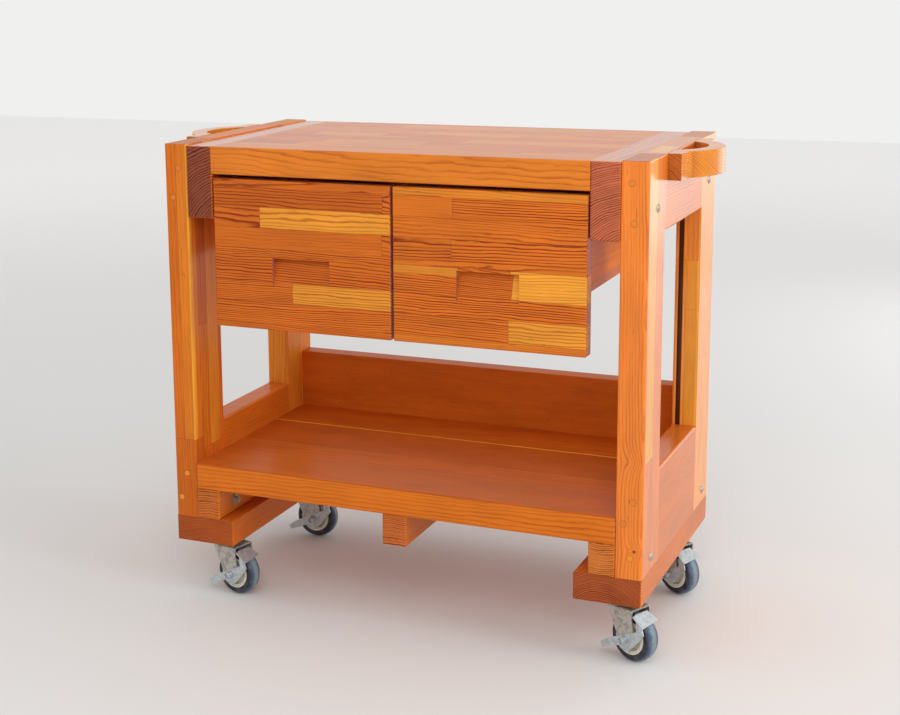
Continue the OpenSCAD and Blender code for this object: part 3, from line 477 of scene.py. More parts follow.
def make_metal_group():
    """Mottle, stains and fine scratches of plated steel."""
    nodes, given, made = new_group(
        "Plated steel",
        {"Vector": "vector", "Plate": "colour", "Stain": "colour", "Wear": "number",
         "Roughness": "number"},
        {"Color": "colour", "Roughness": "number", "Height": "number"},
    )
    mottle = nodes.noise(given["Vector"], 190.0, 4.0, 0.65)
    cloud = nodes.noise(given["Vector"], 110.0, 3.0, 0.6)
    scratch = nodes.noise(nodes.vector("MULTIPLY", given["Vector"], (1.0, 9.0, 1.0)), 420.0, 2.0, 0.7)
    stained = nodes.ease(nodes.math("ADD", mottle, cloud), 0.86, 1.22)
    stained = nodes.math("MULTIPLY", stained, given["Wear"])
    nodes.feed(made["Color"], nodes.mix(stained, given["Plate"], given["Stain"]))
    rough = nodes.math("MULTIPLY_ADD", stained, 0.3, given["Roughness"])
    rough = nodes.math("ADD", rough, nodes.math("MULTIPLY_ADD", scratch, 0.16, -0.08), clamp=True)
    nodes.feed(made["Roughness"], rough)
    nodes.feed(made["Height"], nodes.math("MULTIPLY_ADD", scratch, 0.4, mottle))


def make_dust_group():
    """Fine speckle and dust on moulded rubber and plastic."""
    nodes, given, made = new_group(
        "Dusty moulding", {"Vector": "vector", "Amount": "number"}, {"Dust": "number", "Grain": "number"}
    )
    cloud = nodes.noise(given["Vector"], 70.0, 4.0, 0.65)
    nodes.feed(made["Dust"], nodes.math("MULTIPLY", nodes.ease(cloud, 0.42, 0.72), given["Amount"]))
    nodes.feed(made["Grain"], nodes.noise(given["Vector"], 1400.0, 2.0, 0.6))


def new_material(name):
    """A material with its nodes, its shader and its object coordinates."""
    material = bpy.data.materials.new(name)
    material.use_nodes = True
    nodes = Nodes(material.node_tree)
    shader = material.node_tree.nodes["Principled BSDF"]
    return material, nodes, shader, nodes.add("ShaderNodeTexCoord").outputs


def add_bump(nodes, shader, height, distance, strength):
    """Feeds a height to the shader as fine relief, this far up, in metres."""
    bump = nodes.add("ShaderNodeBump")
    bump.inputs["Strength"].default_value = strength
    bump.inputs["Distance"].default_value = distance
    nodes.feed(bump.inputs["Height"], height)
    nodes.feed(shader.inputs["Normal"], bump.outputs["Normal"])


# The turn in degrees that sets each direction of grain upright, and the direction itself
GRAIN_TURN = {"X": (0, -90, 0), "Y": (90, 0, 0), "Z": (0, 0, 0)}
GRAIN_AXIS = {"X": (1, 0, 0), "Y": (0, 1, 0), "Z": (0, 0, 1)}


def across_grain(axis, point):
    """A point of the cart as the grain pattern sees it, with the grain upright."""
    x, y, z = point
    return {"X": (-z, y, x), "Y": (x, -z, y), "Z": (x, y, z)}[axis]


def lay_staves(nodes, place, layout, staves):
    """Lays box-shaped staves over a layout of tone, number, figure and seam."""
    for low, high, tone, number, figure in staves:
        layout = nodes.use(
            "Stave", vector=place, low=in_metres(low), high=in_metres(high), new_tone=tone,
            new_number=number, new_figure=figure, tone=layout["Tone"], number=layout["Number"],
            figure=layout["Figure"], seam=layout["Seam"])
    return layout


def draw_knots(nodes, place, knots):
    """How near each point is to a knot. Each knot is its middle and its size in millimetres."""
    knot = 0.0
    for spot, size in knots:
        knot = nodes.use("Knot", vector=place, place=in_metres(spot), size=size * MM, knot=knot)["Knot"]
    return knot


def draw_plugs(nodes, place, circle, plugs):
    """Adds the dark circles round the dowels' ends, at places across and up in millimetres."""
    for x, z in plugs:
        circle = nodes.use("Dowel circle", vector=place, place=(x * MM, 0, z * MM),
                           radius=PLUG_RADIUS, circle=circle)["Circle"]
    return circle


def wood_material(name, axis, heart, ring=4.0, waviness=9.0, figure=0.8, tone=0.0, staves=(),
                  rows=None, knots=(), plugs=(), light=None, end=None, end_contrast=1.3,
                  coat=0.25, number=1.0, spread=70.0):
    """Varnished wood with its grain along an axis.
    The heart is a point in millimetres on the line that the growth rings go round, and the rings'
    width, their waviness and the spread of the staves' heart lines are in millimetres too.
    Each stave is its low and high corner in millimetres, its tone, its number and its figure.
    Rows are the staves' width and length and how much their tones differ.
    A tone is nearly black at -2, dark at -1, orange at 0 and pale at 1. The figure is how strong
    the rings are."""
    timber = bpy.context.scene.cart_timber
    material, nodes, shader, coordinates = new_material(name)
    place = coordinates["Object"]
    turned = nodes.add("ShaderNodeMapping")
    turned.inputs["Rotation"].default_value = [math.radians(a) for a in GRAIN_TURN[axis]]
    turned.inputs["Location"].default_value = [-c * MM for c in across_grain(axis, heart)]
    nodes.feed(turned.inputs["Vector"], place)
    upright = turned.outputs[0]
    layout = {"Tone": tone, "Number": number, "Figure": figure, "Seam": 0.0}
    if rows:
        width, length, contrast = rows
        cells = nodes.use(
            "Stave rows", vector=upright, width=width * MM, length=length * MM, seed=number)
        layout["Tone"] = nodes.math("MULTIPLY_ADD", cells["Tone"], contrast, tone)
        layout["Number"] = cells["Number"]
        layout["Seam"] = cells["Seam"]
    layout = lay_staves(nodes, place, layout, staves)
    knot = draw_knots(nodes, place, knots)
    lines = draw_plugs(nodes, place, nodes.math("MULTIPLY", layout["Seam"], 0.5), plugs)
    grain = nodes.use("Timber grain", vector=upright, ring_width=ring * MM, waviness=waviness * MM,
                      spread=spread * MM, number=layout["Number"], knot=knot)
    facing = nodes.vector("DOT_PRODUCT", coordinates["Normal"], GRAIN_AXIS[axis])
    end_grain = nodes.ease(nodes.math("ABSOLUTE", facing), 0.6, 0.85)
    wood = nodes.use(
        "Varnished wood", light=(*(light or timber.light), 1), dark=(*timber.dark, 1),
        pale=(*timber.pale, 1), end=(*(end or timber.end), 1), rings=grain["Rings"],
        fibre=grain["Fibre"], blotch=grain["Blotch"], flecks=grain["Flecks"], tone=layout["Tone"],
        figure=layout["Figure"], seam=lines, end_grain=end_grain, end_contrast=end_contrast,
        knot=knot, roughness=timber.varnish_roughness)
    nodes.feed(shader.inputs["Base Color"], wood["Color"])
    nodes.feed(shader.inputs["Roughness"], wood["Roughness"])
    shader.inputs["Specular IOR Level"].default_value = timber.varnish_shine
    thinner_on_ends = nodes.math("MULTIPLY_ADD", end_grain, -0.6, 1.0)
    nodes.feed(shader.inputs["Coat Weight"], nodes.math("MULTIPLY", thinner_on_ends, coat))
    shader.inputs["Coat IOR"].default_value = 1.3
    shader.inputs["Coat Roughness"].default_value = 0.16
    add_bump(nodes, shader, wood["Height"], distance=0.0002, strength=0.4)
    return material


def plated_material(name, plate, stain, wear, roughness, metallic=0.6):
    """Zinc-plated steel."""
    material, nodes, shader, coordinates = new_material(name)
    metal = nodes.use("Plated steel", vector=coordinates["Object"], plate=(*plate, 1), stain=(*stain, 1),
                      wear=wear, roughness=roughness)
    nodes.feed(shader.inputs["Base Color"], metal["Color"])
    nodes.feed(shader.inputs["Roughness"], metal["Roughness"])
    shader.inputs["Metallic"].default_value = metallic
    add_bump(nodes, shader, metal["Height"], distance=0.0001, strength=0.35)
    return material


# Modelling helpers


def only(piece):
    """Selects one piece alone and makes it active."""
    bpy.ops.object.select_all(action="DESELECT")
    piece.select_set(True)
    bpy.context.view_layer.objects.active = piece


def named(name):
    """Names the piece that was just added."""
    piece = bpy.context.active_object
    piece.name = name
    piece.data.name = name
    return piece


def pick(kind, test):
    """In edit mode, selects the vertices, edges or faces that pass a test."""
    bpy.ops.mesh.select_mode(type=kind)
    bpy.ops.mesh.select_all(action="DESELECT")
    mesh = bpy.context.edit_object.data
    shape = bmesh.from_edit_mesh(mesh)
    for part in {"VERT": shape.verts, "EDGE": shape.edges, "FACE": shape.faces}[kind]:
        if test(part):
            part.select_set(True)
    shape.select_flush_mode()
    bmesh.update_edit_mesh(mesh)


def middle(edge):
    """The middle of an edge."""
    return (edge.verts[0].co + edge.verts[1].co) / 2


def trace(name, points, filled=True):
    """Draws a closed outline point by point, and leaves it in edit mode. The points are in metres."""
    bpy.ops.object.select_all(action="DESELECT")
    bpy.ops.mesh.primitive_plane_add(size=2 * MM, location=(0, 0, 0))
    piece = named(name)
    bpy.ops.object.mode_set(mode="EDIT")
    pick("VERT", lambda v: v.co.x > 0 or v.co.y > 0)
    bpy.ops.mesh.delete(type="VERT")
    bpy.ops.mesh.select_all(action="SELECT")
    bpy.ops.transform.translate(value=Vector(points[0]) - Vector((-MM, -MM, 0)))
    for before, after in zip(points, points[1:]):
        way = Vector(after) - Vector(before)
        bpy.ops.mesh.extrude_vertices_move(TRANSFORM_OT_translate={"value": way})
    first, last = Vector(points[0]), Vector(points[-1])
    pick("VERT", lambda v: (v.co - first).length < 1e-6 or (v.co - last).length < 1e-6)
    bpy.ops.mesh.edge_face_add()
    bpy.ops.mesh.select_all(action="SELECT")
    if filled:
        bpy.ops.mesh.edge_face_add()
    return piece


def thicken(direction):
    """Extrudes the traced face along a vector."""
    bpy.ops.mesh.select_all(action="SELECT")
    bpy.ops.mesh.extrude_region_move(TRANSFORM_OT_translate={"value": direction})
    bpy.ops.mesh.select_all(action="SELECT")
    bpy.ops.mesh.normals_make_consistent(inside=False)


def turn_profile(name, profile, centre, axis, steps):
    """Spins a traced profile round an axis and leaves the closed piece in object mode."""
    piece = trace(name, profile, filled=False)
    bpy.ops.mesh.select_all(action="SELECT")
    bpy.ops.mesh.spin(steps=steps, angle=2 * math.pi, center=centre, axis=axis)
    bpy.ops.mesh.select_all(action="SELECT")
    bpy.ops.mesh.remove_doubles(threshold=1e-6)
    bpy.ops.mesh.normals_make_consistent(inside=False)
    bpy.ops.object.mode_set(mode="OBJECT")
    return piece


def apply_modifier(piece, kind, **settings):
    """Adds a modifier, sets it and applies it."""
    only(piece)
    modifier = piece.modifiers.new(kind.title(), kind)
    for name, setting in settings.items():
        setattr(modifier, name, setting)
    bpy.ops.object.modifier_apply(modifier=modifier.name)


def soften(piece, width, angle=30.0):
    """Rounds the sharp edges and smooths the faces between them."""
    apply_modifier(piece, "BEVEL", width=width, segments=2, limit_method="ANGLE",
                   angle_limit=math.radians(angle), use_clamp_overlap=True)
    smooth(piece, angle)


def smooth(piece, angle=30.0):
    """Smooth shading, with flat faces kept flat."""
    only(piece)
    bpy.ops.object.shade_smooth_by_angle(angle=math.radians(angle))
    apply_modifier(piece, "WEIGHTED_NORMAL", keep_sharp=True)


def join(name, pieces):
    """Joins pieces into the first."""
    only(pieces[0])
    for piece in pieces[1:]:
        piece.select_set(True)
    bpy.ops.object.join()
    return named(name)


def twin(piece, name):
    """A copy of a piece with its own mesh."""
    only(piece)
    bpy.ops.object.duplicate(linked=False)
    return named(name)


def settle(piece):
    """Puts a piece's place, turn and size into its mesh."""
    only(piece)
    bpy.ops.object.transform_apply(location=True, rotation=True, scale=True)


def remove(piece):
    """Deletes a pattern piece once its copies are made."""
    only(piece)
    bpy.ops.object.delete()


def arc(centre, radius, start, end, steps):
    """Points on a circle from one angle to another, in degrees."""
    angles = [math.radians(start + (end - start) * i / steps) for i in range(steps + 1)]
    return [(centre[0] + radius * math.cos(a), centre[1] + radius * math.sin(a)) for a in angles]


def tangent(point, centre, radius, way):
    """The angle, in degrees, at which a line from a point touches a circle."""
    across, up = point[0] - centre[0], point[1] - centre[1]
    return math.degrees(math.atan2(up, across) + way * math.acos(radius / math.hypot(across, up)))


def dress(material, *nodes):
    """Gives CAD nodes a material."""
    for name in nodes:
        mesh = frame["nodes"][name].data
        mesh.materials.clear()
        mesh.materials.append(material)


def dress_in_wood(part, axis, heart, **look):
    """Gives one CAD node a varnished wood of its own."""
    dress(wood_material(f"{part}_wood", axis, heart, **look), part)


def finish_piece(piece, material, body, slot, *nodes):
    """Gives a new piece its material and its body, and hides the nodes that it stands for. The slot is
    not used.
    """
    piece.data.materials.clear()
    piece.data.materials.append(material)
    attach(piece, body)
    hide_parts(*nodes)


def place_on_casters(pattern, part, material, slot, body_part):
    """Copies a pattern piece to the four casters and turns each copy the way its caster trails."""
    for corner in CORNERS:
        name = f"{corner}_{part}"
        piece = twin(pattern, f"{name}_detailed")
        axis = joint(f"{corner}_wheel_spin")["axis"]
        swivel = joint(f"{corner}_caster_swivel")["pos_m"]
        piece.rotation_euler = (0, 0, math.atan2(-axis[0], axis[1]))
        piece.location = (swivel[0], swivel[1], 0)
        settle(piece)
        finish_piece(piece, material, f"{corner}_{body_part}", slot, name)
    remove(pattern)


def axle_height():
    """Height of the axles above the floor."""
    return joint("front_left_wheel_spin")["pos_m"][2]


# Shared effects


class CART_OT_make_groups(bpy.types.Operator):
    """Make the node groups that the materials share"""

    bl_idname = "cart.make_groups"
    bl_label = "Shared Effects"

    def execute(self, context):
        for make in (make_stave_group, make_rows_group, make_knot_group, make_plug_group,
                     make_grain_group, make_wood_group, make_metal_group, make_dust_group):
            make()
        return {"FINISHED"}


# Boards

# Places of the dowels' ends on the posts, across and up in millimetres
LEFT_PLUGS = [(-363, 704), (-374, 657.5), (-366, 205.5), (-377, 164)]
RIGHT_PLUGS = [(363, 711), (367, 654), (373, 250), (359, 216), (370, 164.5)]


class CART_OT_finish_frames(bpy.types.Operator):
    """Finish the side frames and the beams under them"""

    bl_idname = "cart.finish_frames"
    bl_label = "Side Frames"

    def execute(self, context):
        dress_in_wood(
            "left_front_post", "Z", (-450, -262, 0), ring=5.2, waviness=10, figure=0.5, tone=-0.2,
            number=3.0, plugs=LEFT_PLUGS, staves=[
                ((-367.5, FRONT - 5, 263), (-340, FRONT + 22, 760), 0.28, 3.2, 0.4),
                # Painted highlight: the palest stave runs along the post's rounded inner front edge.
                ((-350.5, FRONT - 5, 263), (-340, FRONT + 9, 760), 1.0, 3.3, 0.15),
                ((-352, FRONT + 22, 448), (-340, FRONT + 49, 760), -0.4, 3.4, 0.5),
                ((-352, FRONT + 22, 243), (-340, FRONT + 49, 448), 0.25, 3.5, 0.5),
                ((-352, FRONT + 49, 243), (-340, FRONT + 82, 760), 0.5, 3.6, 0.4),
                ((-400, FRONT - 5, 120), (-340, FRONT + 27, 263), -0.35, 3.8, 0.5)])
        dress_in_wood(
            "left_rear_post", "Z", (-300, 60, 0), ring=5, figure=0.5, tone=0.5, number=4.0,
            plugs=LEFT_PLUGS, staves=[((-400, 150, 120), (-340, 175, 760), 0.5, 4.3, 0.4)])
        # Painted light: both right posts get a lighter early-wood colour than the left ones, for the
        # stronger light on the cart's right side.
        dress_in_wood(
            "right_front_post", "Z", (450, -275, 0), ring=4, waviness=6, figure=0.5, tone=0.06,
            light=screen(238, 130, 46), coat=0.9, number=5.0, plugs=RIGHT_PLUGS,
            knots=[((376, FRONT, 176), 3.2), ((372, FRONT - 12, 310), 7)],
            staves=[((384, FRONT + 9, 305), (395, FRONT + 50, 760), 0.9, 5.3, 0.5)])
        # Painted light: a lighter early-wood colour, as on the right front post.
        dress_in_wood(
            "right_rear_post", "Z", (300, 80, 0), ring=5, figure=0.4, tone=0.3,
            light=screen(252, 152, 62), coat=0.9, number=6.0, plugs=RIGHT_PLUGS, staves=[
                ((340, 100, 547), (384, 150, 760), 0.35, 6.4, 0.5),
                ((366, 100, 120), (386.5, 170, 547), 1.0, 6.5, 0.2),
                ((366, 100, 120), (386.5, 170, 467), 0.95, 6.9, 0.25),
                ((384, 160, 160), (395, 200, 380), 0.45, 6.7, 0.25),
                # Painted shade: a nearly black tone inside the groove in the post's front face.
                ((353.6, 123, 120), (361.2, 131.5, 700), -2.0, 6.8, 0.0)])
        patch = ((355, -100, 735), (385, -12, 745), 0.85, 7.5, 0.2)
        for side, way, coat in (("left", -1, 0.25), ("right", 1, 0.75)):
            dress_in_wood(f"{side}_top_rail", "Y", (way * 420, 0, 560), ring=5, figure=0.4,
                          tone=0.2, coat=coat, number=7.0 + way, staves=[patch])
            dress_in_wood(f"{side}_bottom_rail", "Y", (way * 300, 0, 330), ring=5, figure=0.2,
                          tone=0.14, coat=coat, number=9.0 + way)
        dress_in_wood("left_foot_beam", "Y", (-300, 0, -60), ring=3.6, figure=0.3,
                      end=screen(172, 82, 36), end_contrast=1.5, number=10.0)
        dress_in_wood("right_foot_beam", "Y", (330, 0, 50), ring=3.4, figure=0.4, tone=0.05,
                      end=screen(170, 82, 42), end_contrast=2.8, coat=0.5, number=12.0, spread=8)
        return {"FINISHED"}


class CART_OT_finish_top(bpy.types.Operator):
    """Finish the table top, its bearers, the divider and the runners"""

    bl_idname = "cart.finish_top"
    bl_label = "Table Top"

    def execute(self, context):
        timber = context.scene.cart_timber
        dress_in_wood(
            "table_top", "X", (0, -333, 790), ring=4.5, waviness=16, figure=0.45, tone=0.24,
            rows=(48, 170, 0.3), coat=0.5, number=21.0, knots=[((-262, FRONT, 640), 36)], staves=[
                ((-310, FRONT - 5, 690), (310, FRONT + 48, 745), 0.3, 21.3, 0.48),
                ((-303, -29, 690), (-205, 8, 745), -0.4, 21.5, 0.4),
                ((-300, -135, 690), (-195, -82, 745), -0.4, 21.7, 0.4),
                ((195, -112, 690), (300, -72, 745), -0.25, 21.9, 0.4),
                ((-115, 18, 690), (0, 58, 745), -0.25, 22.1, 0.4),
                ((-97, -67.6, 735), (97, -66, 745), -1.5, 22.3, 0.3),
                ((193, 92, 735), (297, 94, 745), -1.7, 22.5, 0.3)])
        dress_in_wood("left_bearer", "Y", (-262, 0, 585), ring=4.2, waviness=4, figure=1.4,
                      tone=0.1, end=timber.bearer_end, coat=1.0, number=23.0, spread=4)
        dress_in_wood("right_bearer", "Y", (366, 0, 580), ring=3.1, waviness=5, figure=1.2,
                      tone=0.1, end=timber.red_end, coat=0.9, number=24.0, spread=4)
        dress(wood_material("divider_wood", "Y", (60, 0, 560), tone=-0.4, number=25.0),
              "drawer_divider")
        dress(wood_material("runner_wood", "Y", (20, 0, 590), ring=3, figure=0.5, tone=0.7,
                            number=26.0), "drawer_runners")
        return {"FINISHED"}


class CART_OT_finish_shelf(bpy.types.Operator):
    """Finish the shelf, the board behind it and the cleats under it"""

    bl_idname = "cart.finish_shelf"
    bl_label = "Shelf"

    def execute(self, context):
        for part, heart, tone, figure, number in (
            ("shelf_front_board", (0, -150, 60), -0.42, 0.25, 31.0),
            ("shelf_middle_board", (0, 40, 80), -0.6, 0.22, 32.0),
            ("shelf_rear_board", (0, 180, 90), -0.5, 0.3, 33.0),
            ("rear_board", (0, 300, 290), -0.36, 0.14, 34.0),
        ):
            # The front board's front face is lighter and more figured than the tops: partly its own edge
            # grain, partly painted glare.
            front_face = ((-360, FRONT - 9, 170), (360, FRONT + 3, 223), 0.14, number + 0.5, 0.5)
            # Painted highlights: pale lines along the front edges of the middle and rear shelf boards,
            # where their rounded edges meet.
            front_seam_highlight = ((-360, -51, 220), (360, -48.5, 226), 0.3, number + 0.7, 0.2)
            far_seam_highlight = ((-360, 71.5, 220), (360, 76.5, 226), 0.85, number + 0.9, 0.2)
            dress_in_wood(part, "X", heart, ring=6.5, waviness=20, figure=figure, tone=tone,
                          staves=[front_face, front_seam_highlight, far_seam_highlight], coat=0.1, number=number)
        for part, heart, end, number in (
            ("left_cleat", (-325, 0, -20), (200, 100, 46), 35.0),
            ("centre_cleat", (2, 0, -60), (200, 96, 52), 36.0),
            ("right_cleat", (322, 0, 232), (206, 112, 54), 37.0),
        ):
            dress_in_wood(part, "Y", heart, ring=3.2, waviness=4, figure=0.75, tone=0.3, spread=4,
                          end=screen(*end), end_contrast=1.8, number=number)
        return {"FINISHED"}


# Staves of the drawer fronts: low and high corner across and up in millimetres, tone, number
# and figure
LEFT_STAVES = [
    ((-303, 679), (0, 697), -0.4, 40.5, 0.9),
    ((-303, 650), (0, 679), -0.52, 41.0, 1.0), ((-14, 650), (0, 679), -0.2, 41.5, 1.2),
    ((-303, 617), (-220, 650), -0.4, 43.2, 1.0), ((-220, 617), (0, 649), 0.72, 45.4, 1.0),
    ((-303, 585), (-16, 617), -0.3, 42.5, 0.18), ((-16, 585), (0, 617), -0.25, 44.7, 0.9),
    ((-303, 575), (-210, 585), 0.05, 44.5, 1.0), ((-210, 575), (0, 585), 0.0, 46.5, 1.2),
    ((-303, 533), (0, 575), -0.35, 46.0, 1.1), ((-303, 501), (-166, 533), -0.15, 48.0, 0.8),
    ((-166, 501), (0, 533), 0.66, 47.0, 1.0), ((-303, 468), (0, 501), -0.12, 49.0, 0.9),
    ((-303, 455), (0, 468), -0.3, 49.5, 0.8),
]
RIGHT_STAVES = [
    ((0, 679), (303, 697), 0.42, 50.5, 0.6), ((0, 648), (97, 679), 0.05, 51.0, 0.25),
    ((97, 648), (303, 679), 0.0, 52.0, 1.2), ((0, 617), (303, 648), 0.08, 53.0, 0.9),
    ((0, 585), (95, 617), -0.05, 54.0, 1.3), ((95, 585), (303, 617), 0.0, 62.0, 1.2),
    ((0, 575), (303, 585), 0.1, 56.0, 0.7), ((0, 533), (303, 575), 0.0, 56.5, 1.1),
    ((0, 562), (105, 575), 0.5, 57.0, 0.4), ((187, 533), (303, 575), 0.92, 58.0, 0.8),
    ((0, 502), (303, 533), 0.02, 58.5, 1.3), ((0, 469), (184, 502), 0.05, 59.0, 1.1),
    ((184, 469), (303, 502), 0.7, 60.0, 1.0), ((0, 455), (303, 469), 0.25, 61.0, 0.5),
]


class CART_OT_finish_drawers(bpy.types.Operator):
    """Finish the drawers, with the laminated staves of their fronts"""

    bl_idname = "cart.finish_drawers"
    bl_label = "Drawers"

    def execute(self, context):
        for side, staves, heart, number, contrast in (
            ("left", LEFT_STAVES, (-150, -150, 640), 40.0, 1.8),
            ("right", RIGHT_STAVES, (150, -160, 600), 50.0, 1.4),
        ):
            boxes = [((a, FRONT - 5, b), (c, FRONT + 30, d), tone, seed, figure * contrast)
                     for (a, b), (c, d), tone, seed, figure in staves]
            # The fronts' light pinkish end grain is partly their own colour, partly painted light on the
            # finger pulls' side walls and the fronts' ends facing the right.
            dress_in_wood(f"{side}_drawer_front", "X", heart, ring=3.1, waviness=17, figure=1.0,
                          tone=-0.05, staves=boxes, end=screen(205, 115, 92), coat=0.4,
                          number=number)
            dress(wood_material(f"{side}_drawer_side_wood", "Y", (0, 0, 400), ring=6, figure=0.2,
                                tone=0.25, coat=0.03, number=number + 20),
                  f"{side}_drawer_left_side", f"{side}_drawer_right_side")
            dress_in_wood(f"{side}_drawer_back", "X", (0, 100, 400), ring=6, figure=0.4, tone=0.1,
                          number=number + 21)
            dress_in_wood(f"{side}_drawer_bottom", "X", (0, 0, 300), ring=6, figure=0.4,
                          tone=-0.1, number=number + 22)
        return {"FINISHED"}


class CART_OT_finish_fasteners(bpy.types.Operator):
    """Finish the bolts, nuts, screws, dowels and caster plates"""

    bl_idname = "cart.finish_fasteners"
    bl_label = "Fasteners"

    def execute(self, context):
        metal = context.scene.cart_metal
        stain = screen(120, 108, 88)
        dress(plated_material("bolt_steel", metal.steel, stain, wear=0.5, roughness=0.34),
              "frame_bolts", "bolt_nuts_and_washers")
        dress(plated_material("screw_steel", metal.zinc, stain, wear=0.4, roughness=0.36),
              "wood_screws", "caster_screws", "caster_plates")
        lower_dowels = ((-400, -300, 100), (400, 300, 210), 0.8, 82.0, 0.3)
        dress(wood_material("dowel_wood", "Y", (365, 0, 400), ring=2.2, figure=0.15,
                            staves=[lower_dowels], end=screen(232, 134, 54), coat=0.1,
                            number=81.0), "frame_dowels")
        return {"FINISHED"}


class CART_OT_model_handles(bpy.types.Operator):
    """Model the bow handles"""

    bl_idname = "cart.model_handles"
    bl_label = "Handles"

    def execute(self, context):
        sizes = context.scene.cart_handles
        low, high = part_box("right_handle")
        middle_y = (low.y + high.y) / 2
        half = (high.y - low.y) / 2
        face = low.x
        centre = (face - sizes.bow_inset, middle_y)
        hollow_x = face + sizes.end_thickness + sizes.hollow_radius
        reach = sizes.bow_radius + sizes.hollow_radius
        hollow_y = math.sqrt(reach**2 - (hollow_x - centre[0]) ** 2)
        meet = math.degrees(math.atan2(hollow_y, hollow_x - centre[0]))
        slot = math.degrees(math.acos(sizes.bow_inset / sizes.slot_radius))
        end_face = face + sizes.end_thickness
        outline = [(face, middle_y - half), (end_face, middle_y - half)]
        outline += arc((hollow_x, middle_y - hollow_y), sizes.hollow_radius, 180, 180 - meet, 8)
        outline += arc(centre, sizes.bow_radius, -meet, meet, 48)[1:]
        outline += arc((hollow_x, middle_y + hollow_y), sizes.hollow_radius, 180 + meet, 180, 8)[1:]
        outline += [(end_face, middle_y + half), (face, middle_y + half)]
        outline += arc(centre, sizes.slot_radius, slot, -slot, 40)
        right = trace("right_handle_rounded", [(x, y, low.z) for x, y in outline])
        thicken((0, 0, high.z - low.z))
        pick("EDGE", lambda e: e.calc_face_angle(0) > math.radians(35)
             and any(abs(v.co.x - face) > 1e-6 for v in e.verts))
        bpy.ops.mesh.bevel(offset=sizes.edge_round, segments=3, affect="EDGES")
        bpy.ops.object.mode_set(mode="OBJECT")
        smooth(right, 35)
        left = twin(right, "left_handle_rounded")
        left.scale = (-1, 1, 1)
        settle(left)
        bpy.ops.object.mode_set(mode="EDIT")
        bpy.ops.mesh.select_all(action="SELECT")
        bpy.ops.mesh.normals_make_consistent(inside=False)
        bpy.ops.object.mode_set(mode="OBJECT")
        smooth(left, 35)
        for side, piece, way in (("left", left, -1), ("right", right, 1)):
            wood = wood_material(f"{side}_handle_wood", "Y", (way * 330, 0, 640), ring=2.6,
                                 waviness=5, figure=0.9, tone=0.5, end=screen(160, 50, 40),
                                 coat=0.9, number=85.0 + way, spread=4)
            finish_piece(piece, wood, "root", "orange_timber", f"{side}_handle")
        return {"FINISHED"}


# Casters

# Value of the across_tread attribute on a tyre's sides; it runs from -1 to 1 on the tread
OFF_TREAD = 1.4


class CART_OT_model_tyres(bpy.types.Operator):
    """Model the tyres"""

    bl_idname = "cart.model_tyres"
    bl_label = "Tyres"

    def execute(self, context):
        sizes, metal = context.scene.cart_casters, context.scene.cart_metal
        radius = axle_height()
        rim = radius - sizes.tyre_thickness
        half = sizes.tyre_width / 2
        tread_radius = (sizes.tyre_crown**2 + half**2) / (2 * sizes.tyre_crown)
        shoulder = radius - sizes.tyre_crown
        # Out from the axle and along it: rim, side, shoulder and half of the crowned tread
        one_side = [(rim, half - 1.2 * MM), (rim + 0.8 * MM, half - 0.3 * MM), (rim + 1.8 * MM, half),
                    (shoulder - 0.8 * MM, half), (shoulder, half - 0.2 * MM)]
        tread_steps = 8
        for step in range(tread_steps):
            across = half * (1 - (step + 0.5) / tread_steps)
            one_side.append((radius - tread_radius + math.sqrt(tread_radius**2 - across**2), across))
        profile = one_side + [(r, -y) for r, y in reversed(one_side)]
        pattern = turn_profile(
            "tyre_pattern", [(sizes.trail + r, y, radius) for r, y in profile],
            (sizes.trail, 0, radius), (0, 1, 0), sizes.turn_steps)
        smooth(pattern, 40)
        across = pattern.data.attributes.new("across_tread", "FLOAT", "POINT")
        for vertex in pattern.data.vertices:
            out = math.hypot(vertex.co.x - sizes.trail, vertex.co.z - radius)
            on_tread = out > shoulder - 0.1 * MM
            share = vertex.co.y / half if on_tread else math.copysign(OFF_TREAD, vertex.co.y)
            across.data[vertex.index].value = share
        grey_dust = (0.42, 0.42, 0.4, 1)
        material, nodes, shader, coordinates = new_material("tyre_rubber")
        dust = nodes.use("Dusty moulding", vector=coordinates["Object"], amount=0.5)
        place_on_casters(pattern, "tyre", material, "tyre_rubber", "wheel")
        stripe = nodes.add(
            "ShaderNodeAttribute", attribute_type="GEOMETRY", attribute_name="across_tread")
        away = nodes.math("ABSOLUTE", stripe.outputs["Fac"])
        tread = nodes.ease(away, 0.55, 1.0, 1.0, 0.0)
        patchy = nodes.math("MULTIPLY_ADD", nodes.noise(coordinates["Object"], 260.0, 3.0), 0.5, away)
        worn = nodes.ease(patchy, 0.42, 0.82, 1.0, 0.0)
        colour = nodes.mix(tread, (*metal.rubber, 1), (*metal.tread, 1))
        colour = nodes.mix(nodes.math("MULTIPLY", worn, 0.8), colour, (*metal.worn_tread, 1))
        colour = nodes.mix(nodes.math("MULTIPLY", dust["Dust"], 0.35), colour, grey_dust)
        nodes.feed(shader.inputs["Base Color"], colour)
        nodes.feed(shader.inputs["Roughness"], nodes.math("MULTIPLY_ADD", dust["Dust"], 0.25, 0.5))
        add_bump(nodes, shader, dust["Grain"], distance=0.0001, strength=0.3)
        return {"FINISHED"}


